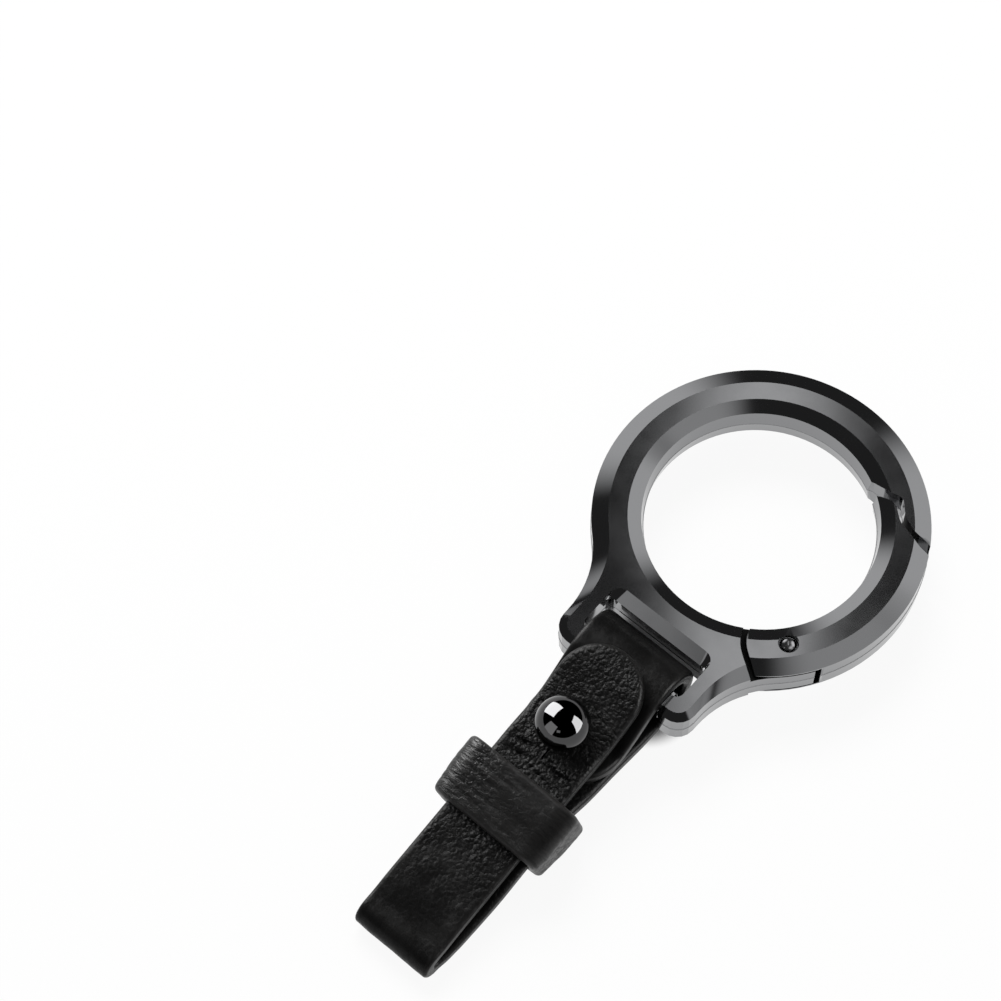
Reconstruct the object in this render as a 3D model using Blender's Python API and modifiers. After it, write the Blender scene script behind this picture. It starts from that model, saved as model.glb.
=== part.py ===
"""Leather keychain: a ring clip with a sprung gate, and a strap that loops round its bar.

Lengths are metres, +Z is up. The ring lies flat, with its front face up. Its axis is vertical.
The strap leaves the ring towards -Y. The origin is under the middle of the whole keychain,
at the level of its lowest point.
"""

import math

import bmesh
import bpy
from mathutils import Matrix, Vector

# Ring section, shared by the frame and the gate
RING_OUTER_R = 0.019
RING_BAND = 0.0056
RING_THICKNESS = 0.0054
OUTER_CHAMFER_WIDTH = 0.0019
OUTER_CHAMFER_HEIGHT = 0.0006
INNER_CHAMFER_WIDTH = 0.00155
INNER_CHAMFER_HEIGHT = 0.00065
WALL_DRAFT = 0.00025

# Lug that carries the strap, with its slot and bar
SLOT_WEB = 0.00475
SLOT_OPEN = 0.00395
SLOT_SHOULDER = 0.00085
SLOT_CORNER_R = 0.001
SLOT_CHAMFER_WIDTH = 0.0015
SLOT_CHAMFER_HEIGHT = 0.00065
LUG_ARM_WIDTH = 0.0024
LUG_CHAMFER_WIDTH = 0.00085
LUG_CORNER_R = 0.0023
LUG_FACE_CORNER_R = 0.0016
LUG_FILLET_R = 0.012
BAR_DEPTH = 0.0031
BAR_SETBACK = 0.00025
BAR_THICKNESS = 0.0044
BAR_EDGE = 0.0007

# Gate, hinge and nose catch
PIN_ANGLE = math.radians(-40.3)
PIN_R = 0.0008
PIN_CLEARANCE = 0.00015
PIN_RECESS = 0.0002
PIN_DOME = 0.00025
COUNTERSINK_R = 0.00118
COUNTERSINK_DEPTH = 0.0003
EAR_THICKNESS = 0.0008
EAR_GAP = 0.00025
EAR_END_R = 0.0046
HINGE_GAP = 0.0007
TANG_REACH = 0.0024
NOTCH_GAP = 0.0007
STOP_GAP = 0.0003
GATE_OPEN_ANGLE = math.radians(28.0)
# Where the pin stands across the band, from the hole to the rim
PIN_BAND_SHARE = 0.37
# Outline of the ear's end round the pin: direction, and radius as a share of EAR_END_R
EAR_END_SHARES = ((186.0, 1.0), (204.0, 1.0), (222.0, 1.0), (238.0, 1.0), (252.0, 1.04),
                  (262.0, 1.11), (270.0, 1.21), (280.0, 1.36))
# Nose catch: direction from the ring's centre, and place across the band as a share
FRAME_NOSE_SHARES = ((62.5, -0.16), (61.0, 0.0), (58.4, 0.08), (55.8, 0.16), (52.6, 0.28),
                     (50.2, 0.41), (48.6, 0.475), (46.2, 0.48), (42.4, 0.475), (39.4, 0.51),
                     (37.4, 0.57), (35.4, 0.63), (33.8, 0.73), (31.9, 0.9), (30.4, 1.0),
                     (28.6, 1.14))
GATE_NOSE_SHARES = ((53.8, -0.16), (53.4, 0.0), (52.6, 0.06), (51.0, 0.14), (48.6, 0.25),
                    (45.8, 0.31), (42.4, 0.335), (39.5, 0.36), (37.0, 0.42), (34.8, 0.52),
                    (31.9, 0.64), (29.2, 0.79), (27.8, 0.93), (27.0, 1.0), (26.0, 1.14))

# Gate spring, a small compression coil in a blind bore of the gate
SPRING_R = 0.0006
SPRING_WIRE_R = 0.00015
SPRING_PITCH = 0.00076
SPRING_BORE_CLEARANCE = 0.00018
SPRING_INSET = 0.00095
SPRING_END_GAP = 0.0003
SPRING_TURNS = 7

# Strap, one strip of leather
STRAP_THICKNESS = 0.0017
STRAP_EDGE = 0.0002
STRAP_BAR_HALF_WIDTH = 0.00575
STRAP_LOOP_HALF_WIDTH = 0.0051
STRAP_BAR_CLEARANCE = 0.0004
STRAP_SIDE_GAP = 0.0003
STRAP_REACH = 0.037
LAYER_GAP = 0.00028
# Back layer: distance from the bar as a share of STRAP_REACH, height in wrap radii
BACK_SHARES = ((0.0, -1.0), (0.054, -0.99), (0.1027, -0.952), (0.154, -0.85), (0.199, -0.749),
               (0.243, -0.672), (0.285, -0.634), (0.347, -0.609), (0.388, -0.551),
               (0.415, -0.5), (0.432, -0.477), (0.455, -0.4545), (0.4824, -0.4745),
               (0.5095, -0.5225), (0.55, -0.6062), (0.658, -0.8292), (0.766, -1.0523),
               (0.9014, -1.332), (0.935, -1.3956), (0.97, -1.441), (1.0, -1.4565))
# Front layer: distance share, leather layers under it, and air under it in bar radii
FRONT_SHARES = ((0.0, 2, 2.064), (0.054, 2, 1.925), (0.1027, 2, 1.66), (0.154, 2, 1.229),
                (0.199, 2, 0.848), (0.243, 2, 0.566), (0.285, 2, 0.404), (0.347, 2, 0.301),
                (0.388, 2, 0.152), (0.415, 1, 0.56), (0.432, 1, 0.485), (0.455, 1, 0.4045),
                (0.4824, 1, 0.3695), (0.5095, 1, 0.3652), (0.55, 1, 0.3738), (0.658, 1, 0.3965),
                (0.766, 1, 0.4191), (0.9014, 1, 0.4474), (0.935, 1, 0.4206), (0.97, 1, 0.3656),
                (1.0, 1, 0.3365))
# Tab: distance share and height in wrap radii, until it lies on the back layer
TAB_SHARES = ((0.0349, 0.944), (0.0626, 0.807), (0.1, 0.533), (0.1354, 0.266), (0.1651, 0.063),
              (0.1928, -0.096), (0.2185, -0.168))
TAB_FLAT_SHARES = (0.243, 0.285, 0.323, 0.364, 0.393)
# Half width of the back layer along it, as a share of the way from its loop width to its widest
BACK_WIDTH_SHARES = ((0.0, 1.0), (0.3, 1.0), (0.5, 0.65), (0.8, 0.65), (1.0, 0.1))
# Straight stretch that the keeper slides on
STRAIGHT_SHARE = 0.55
STRAIGHT_END_SHARE = 0.9014

# Stud that buttons the tongue, and the screw that holds it
STUD_SHARE = 0.2892
BALL_R = 0.00305
NECK_R = 0.0012
FLANGE_R = 0.0021
FLANGE_THICKNESS = 0.0004
POST_R = 0.0015
SCREW_BORE_R = 0.00095
SCREW_BORE_DEPTH = 0.0026
SCREW_SHANK_R = 0.0007
SCREW_SHANK_LENGTH = 0.0026
SCREW_HEAD_R = 0.0028
SCREW_HEAD_HEIGHT = 0.0008
SCREW_SLOT_WIDTH = 0.0006
SCREW_SLOT_DEPTH = 0.0004
STUD_SEAT_GAP = 0.00015
BALL_SEAT_GAP = 0.00025
TONGUE_HOLE_R = 0.0017
POST_HOLE_R = 0.0018
SLIT_LENGTH = 0.0027
SLIT_WIDTH = 0.0004

# Keeper, a leather loop round both layers
KEEPER_SHARE = 0.437
KEEPER_WIDTH = 0.0073
KEEPER_THICKNESS = 0.0014
KEEPER_GAP = 0.00025
KEEPER_UNDER_GAP = 0.00045
KEEPER_SIDE_GAP = 0.00025
KEEPER_FLARE = 0.0005
KEEPER_SIDE_FLARE = 0.00035
KEEPER_INNER_R = 0.0008
KEEPER_EDGE = 0.0003

# How finely round shapes are cut
RING_STEPS = 96
SMALL_STEPS = 24
BALL_STEPS = 32
BALL_RISE_STEPS = 14
FILLET_STEPS = 10
CORNER_STEPS = 5
CAP_STEPS = 6
WRAP_STEPS = 8
SPRING_POINTS_PER_TURN = 9
MERGE = 0.000002
# How far a cutter runs past what it cuts
OVERRUN = 0.001

# Sizes that follow from the ones above
HALF_THICKNESS = RING_THICKNESS / 2
HOLE_R = RING_OUTER_R - RING_BAND
FACE_OUTER_R = RING_OUTER_R - OUTER_CHAMFER_WIDTH
FACE_INNER_R = HOLE_R + INNER_CHAMFER_WIDTH
OUTER_WALL_Z = HALF_THICKNESS - OUTER_CHAMFER_HEIGHT
INNER_WALL_Z = HALF_THICKNESS - INNER_CHAMFER_HEIGHT
SLOT_WALL_Z = HALF_THICKNESS - SLOT_CHAMFER_HEIGHT
SLOT_NEAR = HOLE_R + SLOT_WEB
BAR_NEAR = SLOT_NEAR + SLOT_OPEN
BAR_CENTRE = BAR_NEAR + BAR_DEPTH / 2
LUG_END = BAR_NEAR + BAR_DEPTH + BAR_SETBACK
NOTCH_HALF_WIDTH = STRAP_BAR_HALF_WIDTH + STRAP_SIDE_GAP
SLOT_HALF_WIDTH = NOTCH_HALF_WIDTH + SLOT_SHOULDER
LUG_HALF_WIDTH = SLOT_HALF_WIDTH + LUG_ARM_WIDTH

PIN_CENTRE_R = HOLE_R + PIN_BAND_SHARE * RING_BAND
PIN_CENTRE = Vector((PIN_CENTRE_R * math.cos(PIN_ANGLE), PIN_CENTRE_R * math.sin(PIN_ANGLE), 0))
# Along the ring from the pin towards the gate, and from the pin towards the ring's centre
ALONG = Vector((-math.sin(PIN_ANGLE), math.cos(PIN_ANGLE), 0))
INWARD = Vector((-math.cos(PIN_ANGLE), -math.sin(PIN_ANGLE), 0))
EAR_FLOOR_Z = HALF_THICKNESS - EAR_THICKNESS
TANG_TOP_Z = EAR_FLOOR_Z - EAR_GAP
WEB_REACH = TANG_REACH + NOTCH_GAP

BAR_CORNER_R = math.hypot(BAR_DEPTH / 2, BAR_THICKNESS / 2)
WRAP_INNER_R = BAR_CORNER_R + STRAP_BAR_CLEARANCE
WRAP_MID_R = WRAP_INNER_R + STRAP_THICKNESS / 2
STUD_DISTANCE = STUD_SHARE * STRAP_REACH


def new_collection(name):
    """Make a collection in the scene and return it."""
    collection = bpy.data.collections.new(name)
    bpy.context.scene.collection.children.link(collection)
    return collection


def clear_scene():
    """Remove every object of the scene."""
    for obj in list(bpy.data.objects):
        bpy.data.objects.remove(obj, do_unlink=True)


def make_material(name, colour, roughness, metallic):
    """Return a Principled material with a plain finish."""
    material = bpy.data.materials.new(name)
    material.use_nodes = True
    shader = material.node_tree.nodes["Principled BSDF"]
    shader.inputs["Base Color"].default_value = (*colour, 1.0)
    shader.inputs["Roughness"].default_value = roughness
    shader.inputs["Metallic"].default_value = metallic
    return material


def object_from_bmesh(name, mesh_data, collection):
    """Turn a bmesh into an object of the collection."""
    mesh = bpy.data.meshes.new(name)
    mesh_data.to_mesh(mesh)
    mesh_data.free()
    obj = bpy.data.objects.new(name, mesh)
    collection.objects.link(obj)
    return obj


def loft(name, loops, collection):
    """Join loops of equally many points, all of them anticlockwise from above, bottom first."""
    mesh_data = bmesh.new()
    rings = [[mesh_data.verts.new(point) for point in loop] for loop in loops]
    count = len(rings[0])
    mesh_data.faces.new(list(reversed(rings[0])))
    mesh_data.faces.new(rings[-1])
    for lower, upper in zip(rings, rings[1:]):
        for index in range(count):
            following = (index + 1) % count
            mesh_data.faces.new((lower[index], lower[following], upper[following], upper[index]))
    return object_from_bmesh(name, mesh_data, collection)


def prism(name, outline, bottom, top, collection):
    """Extrude a flat anticlockwise outline from one height to another."""
    mesh_data = bmesh.new()
    base = mesh_data.faces.new([mesh_data.verts.new((x, y, bottom)) for x, y in outline])
    raised = bmesh.ops.extrude_face_region(mesh_data, geom=[base])
    verts = [item for item in raised["geom"] if isinstance(item, bmesh.types.BMVert)]
    bmesh.ops.translate(mesh_data, verts=verts, vec=(0, 0, top - bottom))
    bmesh.ops.recalc_face_normals(mesh_data, faces=mesh_data.faces)
    return object_from_bmesh(name, mesh_data, collection)


def turned(name, profile, steps, collection, closed=False, shade_smooth=False):
    """Turn a profile of (radius, height) points round Z with a Screw modifier."""
    mesh_data = bmesh.new()
    verts = [mesh_data.verts.new((radius, 0, height)) for radius, height in profile]
    for first, second in zip(verts, verts[1:]):
        mesh_data.edges.new((first, second))
    if closed:
        mesh_data.edges.new((verts[-1], verts[0]))
    obj = object_from_bmesh(name, mesh_data, collection)
    screw = obj.modifiers.new("Turn", "SCREW")
    screw.steps = steps
    screw.render_steps = steps
    screw.use_smooth_shade = shade_smooth
    screw.use_merge_vertices = True
    screw.merge_threshold = MERGE
    return obj


def as_cutter(obj):
    """Mark an object as a guide that is not part of the model."""
    obj.hide_render = True
    obj.display_type = "WIRE"
    return obj


def cut(obj, cutter, operation="DIFFERENCE"):
    """Apply a cutter to an object with an exact Boolean modifier."""
    modifier = obj.modifiers.new(cutter.name, "BOOLEAN")
    modifier.solver = "EXACT"
    modifier.operation = operation
    modifier.object = as_cutter(cutter)


def place(obj, parent, location=(0, 0, 0)):
    """Parent an object and put it at a location of its parent's frame."""
    obj.parent = parent
    obj.location = location
    return obj


def add_empty(name, location, collection, parent=None):
    """Make an empty that marks a datum or a joint's axis."""
    empty = bpy.data.objects.new(name, None)
    collection.objects.link(empty)
    return place(empty, parent, location)


def arc(centre, radius, start, end, steps):
    """Points of an arc in the plane, both ends included, with angles in radians."""
    points = []
    for index in range(steps + 1):
        angle = start + (end - start) * index / steps
        points.append((centre[0] + radius * math.cos(angle), centre[1] + radius * math.sin(angle)))
    return points


def smooth(points, steps):
    """Run a Catmull-Rom curve through points of any dimension, with steps a stretch."""
    result = []
    padded = [2 * points[0] - points[1], *points, 2 * points[-1] - points[-2]]
    for index in range(1, len(padded) - 2):
        before, first, second, after = padded[index - 1:index + 3]
        for step in range(steps):
            t = step / steps
            tangent_in = (second - before) / 2
            tangent_out = (after - first) / 2
            result.append((2 * t**3 - 3 * t**2 + 1) * first + (t**3 - 2 * t**2 + t) * tangent_in
                          + (3 * t**2 - 2 * t**3) * second + (t**3 - t**2) * tangent_out)
    result.append(points[-1])
    return result


def band_point(degrees, share):
    """Point of the ring's band: a direction, and a share of the way from the hole to the rim."""
    radius = HOLE_R + share * RING_BAND
    angle = math.radians(degrees)
    return Vector((radius * math.cos(angle), radius * math.sin(angle)))


def nose_line(shares):
    """Line of the nose catch from the hole out past the rim."""
    return smooth([band_point(degrees, share) for degrees, share in shares], 2)


def ear_end_line(extra):
    """Line of the ear's end round the pin, from the hole out past the rim."""
    points = []
    for degrees, share in EAR_END_SHARES:
        radius = share * EAR_END_R + extra
        angle = math.radians(degrees)
        points.append(Vector((PIN_CENTRE.x + radius * math.cos(angle),
                              PIN_CENTRE.y + radius * math.sin(angle))))
    return smooth(points, 3)


def pin_frame_point(along, inward):
    """Point given by its distances from the pin along the ring and towards its centre."""
    spot = PIN_CENTRE + along * ALONG + inward * INWARD
    return Vector((spot.x, spot.y))


def tang_end_line():
    """Line of the tang's end from the hole out past the rim, with the flat that stops the gate."""
    outer = -RING_BAND
    inner = RING_BAND
    stop_distance = WEB_REACH - STOP_GAP
    corner = ((stop_distance - TANG_REACH * math.cos(GATE_OPEN_ANGLE))
              / math.sin(GATE_OPEN_ANGLE))
    back = (inner - corner) * math.tan(GATE_OPEN_ANGLE)
    return [pin_frame_point(TANG_REACH - back, inner), pin_frame_point(TANG_REACH, corner),
            pin_frame_point(TANG_REACH, outer)]


def between(line_a, line_b):
    """Closed anticlockwise outline from two lines that both run outward, gate side between them.

    line_a is the upper one and line_b the lower one.
    """
    past_rim = RING_OUTER_R + 3 * OVERRUN
    inside = HOLE_R - 4 * OVERRUN
    upper = math.atan2(line_a[-1].y, line_a[-1].x)
    lower = math.atan2(line_b[-1].y, line_b[-1].x)
    upper_in = math.atan2(line_a[0].y, line_a[0].x)
    lower_in = math.atan2(line_b[0].y, line_b[0].x)
    outside_arc = arc((0, 0), past_rim, lower, upper, SMALL_STEPS)
    inside_arc = arc((0, 0), inside, upper_in, lower_in, SMALL_STEPS)
    return ([(p.x, p.y) for p in line_b] + outside_arc
            + [(p.x, p.y) for p in reversed(line_a)] + inside_arc)


def frame_outline(ring_r, half_width, end, corner_r):
    """Plan outline of the ring with its lug, anticlockwise from the right neck."""
    reach = half_width + LUG_FILLET_R
    drop = math.sqrt((ring_r + LUG_FILLET_R)**2 - reach**2)
    neck = math.atan2(drop, reach)
    half_turn = math.pi
    points = arc((0, 0), ring_r, -neck, half_turn + neck, RING_STEPS)
    points += arc((-reach, -drop), LUG_FILLET_R, neck, 0, FILLET_STEPS)[1:]
    points += arc((corner_r - half_width, corner_r - end), corner_r, half_turn,
                  1.5 * half_turn, CORNER_STEPS)
    points += arc((half_width - corner_r, corner_r - end), corner_r, 1.5 * half_turn,
                  2 * half_turn, CORNER_STEPS)
    points += arc((reach, -drop), LUG_FILLET_R, half_turn, half_turn - neck, FILLET_STEPS)[:-1]
    return points


def at_height(outline, height):
    """Lift a flat outline to a height."""
    return [(x, y, height) for x, y in outline]


def rounded_rectangle(half_width, low, high, radius_low, radius_high):
    """Anticlockwise rounded rectangle with its own corner radius at each end."""
    quarter = math.pi / 2
    points = arc((radius_low - half_width, low + radius_low), radius_low, 2 * quarter,
                 3 * quarter, CORNER_STEPS)
    points += arc((half_width - radius_low, low + radius_low), radius_low, 3 * quarter,
                  4 * quarter, CORNER_STEPS)
    points += arc((half_width - radius_high, high - radius_high), radius_high, 0, quarter,
                  CORNER_STEPS)
    points += arc((radius_high - half_width, high - radius_high), radius_high, quarter,
                  2 * quarter, CORNER_STEPS)
    return points


def hole_cutter(collection):
    """Turned cutter of the ring's hole, with both chamfers and the drafted wall."""
    flare = OVERRUN * INNER_CHAMFER_WIDTH / INNER_CHAMFER_HEIGHT
    top = HALF_THICKNESS + OVERRUN
    profile = [(0, top), (FACE_INNER_R + flare, top), (HOLE_R, INNER_WALL_Z),
               (HOLE_R - WALL_DRAFT, 0), (HOLE_R, -INNER_WALL_Z), (FACE_INNER_R + flare, -top),
               (0, -top)]
    return turned("cut_hole", profile, RING_STEPS, collection)


def slot_cutter(collection):
    """Cutter of the strap's slot, flared towards the ring on both faces."""
    overrun_flare = OVERRUN * SLOT_CHAMFER_WIDTH / SLOT_CHAMFER_HEIGHT
    low = -BAR_NEAR - OVERRUN
    wall = rounded_rectangle(SLOT_HALF_WIDTH, low, -SLOT_NEAR, SLOT_CORNER_R, SLOT_CORNER_R)
    flared = rounded_rectangle(SLOT_HALF_WIDTH, low,
                               -SLOT_NEAR + SLOT_CHAMFER_WIDTH + overrun_flare,
                               SLOT_CORNER_R, SLOT_CORNER_R + SLOT_CHAMFER_WIDTH / 2)
    top = HALF_THICKNESS + OVERRUN
    loops = [at_height(flared, -top), at_height(wall, -SLOT_WALL_Z),
             at_height(wall, SLOT_WALL_Z), at_height(flared, top)]
    return loft("cut_slot", loops, collection)


def notch_cutter(collection):
    """Box that clears the lug where the bar carries the leather."""
    low = -LUG_END - OVERRUN
    outline = [(-NOTCH_HALF_WIDTH, low), (NOTCH_HALF_WIDTH, low),
               (NOTCH_HALF_WIDTH, -BAR_NEAR), (-NOTCH_HALF_WIDTH, -BAR_NEAR)]
    height = HALF_THICKNESS + OVERRUN
    return prism("cut_notch", outline, -height, height, collection)


def bar_piece(collection):
    """Bar across the lug, rounded along its length, with its ends inside both arms."""
    bpy.ops.mesh.primitive_cube_add(size=1)
    bar = bpy.context.active_object
    bar.name = "join_bar"
    for old in list(bar.users_collection):
        old.objects.unlink(bar)
    collection.objects.link(bar)
    length = NOTCH_HALF_WIDTH + SLOT_HALF_WIDTH
    bar.data.transform(Matrix.Diagonal((length, BAR_DEPTH, BAR_THICKNESS, 1)))
    bar.data.transform(Matrix.Translation((0, -BAR_CENTRE, 0)))
    bevel = bar.modifiers.new("Round", "BEVEL")
    bevel.width = BAR_EDGE
    bevel.segments = 3
    return bar


def cylinder_cutter(name, radius, bottom, top, centre, steps, collection):
    """Upright cylinder between two heights, used as a cutter."""
    bottom_loop = arc(centre, radius, 0, 2 * math.pi, steps)[:-1]
    return prism(name, bottom_loop, bottom, top, collection)


def make_frame(parts, cutters, datum, material):
    """Ring with its lug, bar, tang and hook: one casting."""
    face = frame_outline(FACE_OUTER_R, LUG_HALF_WIDTH - LUG_CHAMFER_WIDTH,
                         LUG_END - LUG_CHAMFER_WIDTH, LUG_FACE_CORNER_R)
    wall = frame_outline(RING_OUTER_R, LUG_HALF_WIDTH, LUG_END, LUG_CORNER_R)
    frame = loft("ring_frame", [at_height(face, -HALF_THICKNESS), at_height(wall, -OUTER_WALL_Z),
                                at_height(wall, OUTER_WALL_Z), at_height(face, HALF_THICKNESS)],
                 parts)
    height = HALF_THICKNESS + OVERRUN
    opening = prism("cut_opening", between(nose_line(FRAME_NOSE_SHARES), tang_end_line()),
                    -height, height, cutters)
    pocket_side = [pin_frame_point(WEB_REACH + OVERRUN, RING_BAND),
                   pin_frame_point(WEB_REACH + OVERRUN, -RING_BAND)]
    pocket = between(pocket_side, ear_end_line(HINGE_GAP))
    upper_pocket = prism("cut_ear_front", pocket, TANG_TOP_Z, height, cutters)
    lower_pocket = prism("cut_ear_back", pocket, -height, -TANG_TOP_Z, cutters)
    bore = cylinder_cutter("cut_tang_bore", PIN_R + PIN_CLEARANCE, -height, height,
                           PIN_CENTRE, SMALL_STEPS, cutters)
    tools = [hole_cutter(cutters), slot_cutter(cutters), notch_cutter(cutters)]
    tools += [opening, upper_pocket, lower_pocket, bore]
    for tool in tools:
        cut(frame, place(tool, datum))
    cut(frame, place(bar_piece(cutters), datum), "UNION")
    frame.data.materials.append(material)
    return place(frame, datum)


def ring_profile():
    """Closed section of the ring's band, down the outer side first."""
    return [(FACE_INNER_R, HALF_THICKNESS), (FACE_OUTER_R, HALF_THICKNESS),
            (RING_OUTER_R, OUTER_WALL_Z), (RING_OUTER_R, -OUTER_WALL_Z),
            (FACE_OUTER_R, -HALF_THICKNESS), (FACE_INNER_R, -HALF_THICKNESS),
            (HOLE_R, -INNER_WALL_Z), (HOLE_R - WALL_DRAFT, 0), (HOLE_R, INNER_WALL_Z)]


def make_gate(parts, cutters, pin_axis, material):
    """Sprung gate: a sector of the ring with a nose, and a fork round the frame's tang."""
    gate = turned("gate", ring_profile(), RING_STEPS, parts, closed=True)
    height = HALF_THICKNESS + OVERRUN
    sector = prism("keep_gate", between(nose_line(GATE_NOSE_SHARES), ear_end_line(0)),
                   -height, height, cutters)
    span = 3 * EAR_END_R
    fork_outline = [pin_frame_point(-span, span), pin_frame_point(-span, -span),
                    pin_frame_point(WEB_REACH, -span), pin_frame_point(WEB_REACH, span)]
    fork = prism("cut_fork", [(p.x, p.y) for p in fork_outline], -EAR_FLOOR_Z, EAR_FLOOR_Z,
                 cutters)
    bore_r = PIN_R + PIN_CLEARANCE
    sink_rise = OVERRUN * (COUNTERSINK_R - bore_r) / COUNTERSINK_DEPTH
    foot = HALF_THICKNESS - COUNTERSINK_DEPTH
    bore_profile = [(0, height), (COUNTERSINK_R + sink_rise, height), (bore_r, foot),
                    (bore_r, -foot), (COUNTERSINK_R + sink_rise, -height), (0, -height)]
    bore = turned("cut_ear_bore", bore_profile, SMALL_STEPS, cutters)
    cut(gate, place(sector, pin_axis, -PIN_CENTRE), "INTERSECT")
    cut(gate, place(fork, pin_axis, -PIN_CENTRE))
    cut(gate, place(bore, pin_axis))
    cut(gate, spring_bore(cutters, pin_axis))
    gate.data.materials.append(material)
    return place(gate, pin_axis, -PIN_CENTRE)


def spring_length():
    """Length of the coil between the middles of its end turns."""
    return SPRING_TURNS * SPRING_PITCH


def spring_bore(cutters, pin_axis):
    """Blind bore in the gate's web, along the ring, on the inner side of the pin."""
    mesh_data = bmesh.new()
    depth = spring_length() + SPRING_WIRE_R + SPRING_END_GAP
    radius = SPRING_R + SPRING_WIRE_R + SPRING_BORE_CLEARANCE
    bmesh.ops.create_cone(mesh_data, cap_ends=True, segments=SMALL_STEPS, radius1=radius,
                          radius2=radius, depth=depth + OVERRUN)
    obj = object_from_bmesh("cut_spring_bore", mesh_data, cutters)
    turn = Vector((0, 0, 1)).rotation_difference(ALONG)
    obj.rotation_mode = "QUATERNION"
    obj.rotation_quaternion = turn
    middle = WEB_REACH + (depth - OVERRUN) / 2
    return place(obj, pin_axis, middle * ALONG + SPRING_INSET * INWARD)


def make_spring(parts, pin_axis, material):
    """Compression coil that pushes the gate shut, as one wire along a helix."""
    curve = bpy.data.curves.new("gate_spring", "CURVE")
    curve.dimensions = "3D"
    curve.bevel_depth = SPRING_WIRE_R
    curve.bevel_resolution = 1
    curve.use_fill_caps = True
    count = SPRING_TURNS * SPRING_POINTS_PER_TURN + 1
    spline = curve.splines.new("POLY")
    spline.points.add(count - 1)
    start = WEB_REACH
    up = Vector((0, 0, 1))
    points = []
    for index in range(count):
        turns = index / SPRING_POINTS_PER_TURN
        angle = 2 * math.pi * turns
        points.append((start + turns * SPRING_PITCH) * ALONG + SPRING_INSET * INWARD
                      + SPRING_R * (math.cos(angle) * INWARD + math.sin(angle) * up))
    for target, point in zip(spline.points, points):
        target.co = (*point, 1)
    report_spring_gap(points)
    spring = bpy.data.objects.new("gate_spring", curve)
    parts.objects.link(spring)
    curve.materials.append(material)
    return place(spring, pin_axis)


def report_spring_gap(points):
    """Print the least gap between the coil's wire and itself."""
    half_turn = SPRING_POINTS_PER_TURN // 2
    least = min((first - second).length for index, first in enumerate(points)
                for second in points[index + half_turn:])
    gap_mm = (least - 2 * SPRING_WIRE_R) * 1000
    print(f"gate spring: least gap between its turns {gap_mm:.2f} mm")


def make_pin(parts, pin_axis, material):
    """Hinge pin with slightly domed ends, sunk in both ears."""
    end = HALF_THICKNESS - PIN_RECESS
    shoulder = end - PIN_DOME
    angles = [step * math.pi / 8 for step in range(5)]
    dome = [(PIN_R * math.sin(angle), shoulder + PIN_DOME * math.cos(angle)) for angle in angles]
    profile = dome + [(radius, -height) for radius, height in reversed(dome)]
    pin = turned("hinge_pin", profile, SMALL_STEPS, parts, shade_smooth=True)
    pin.modifiers.new("Shading", "WEIGHTED_NORMAL")
    pin.data.materials.append(material)
    return place(pin, pin_axis)


def interpolate(table, share):
    """Read a table of (share, value) rows on its smooth curve."""
    curve = smooth([Vector(row) for row in table], 12)
    for first, second in zip(curve, curve[1:]):
        if first.x <= share <= second.x:
            part = (share - first.x) / max(second.x - first.x, MERGE)
            return first.y + (second.y - first.y) * part
    return curve[-1].y


def back_height(share):
    """Height of the back layer's middle at a share of the strap's reach."""
    return interpolate(BACK_SHARES, share) * WRAP_MID_R


def front_height(share):
    """Height of the front layer's middle at a share of the strap's reach."""
    rows = [(row[0], back_height(row[0]) + row[1] * STRAP_THICKNESS + row[2] * WRAP_INNER_R)
            for row in FRONT_SHARES]
    return interpolate(rows, share)


def tab_height(share):
    """Height of the tab's middle where it lies on the back layer."""
    return back_height(share) + STRAP_THICKNESS + LAYER_GAP


def route_points():
    """Places along the strap from the tongue's tip to the tab's end: distance, height, half width.

    The distance runs from the bar towards the loop. Heights are from the bar's middle.
    """
    loop_width = STRAP_LOOP_HALF_WIDTH
    route = []
    for share, _, _ in FRONT_SHARES[:-1]:
        route.append(Vector((share * STRAP_REACH, front_height(share), loop_width)))
    low, high = back_height(1.0), front_height(1.0)
    fold_r = (high - low) / 2
    for step in range(7):
        angle = math.pi / 2 - step * math.pi / 6
        route.append(Vector((STRAP_REACH + fold_r * math.cos(angle),
                             low + fold_r + fold_r * math.sin(angle), loop_width)))
    for share, _ in reversed(BACK_SHARES[1:-1]):
        width = strap_half_width(share)
        route.append(Vector((share * STRAP_REACH, back_height(share), width)))
    for step in range(WRAP_STEPS + 1):
        angle = -math.pi / 2 - step * math.pi / WRAP_STEPS
        route.append(Vector((WRAP_MID_R * math.cos(angle), WRAP_MID_R * math.sin(angle),
                             STRAP_BAR_HALF_WIDTH)))
    for share, height in TAB_SHARES:
        route.append(Vector((share * STRAP_REACH, height * WRAP_MID_R, STRAP_BAR_HALF_WIDTH)))
    for share in TAB_FLAT_SHARES:
        route.append(Vector((share * STRAP_REACH, tab_height(share), STRAP_BAR_HALF_WIDTH)))
    return route


def strap_half_width(share):
    """Half width of the back layer, which narrows from the bar to the loop."""
    width = interpolate(BACK_WIDTH_SHARES, share)
    return STRAP_LOOP_HALF_WIDTH + width * (STRAP_BAR_HALF_WIDTH - STRAP_LOOP_HALF_WIDTH)


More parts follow.
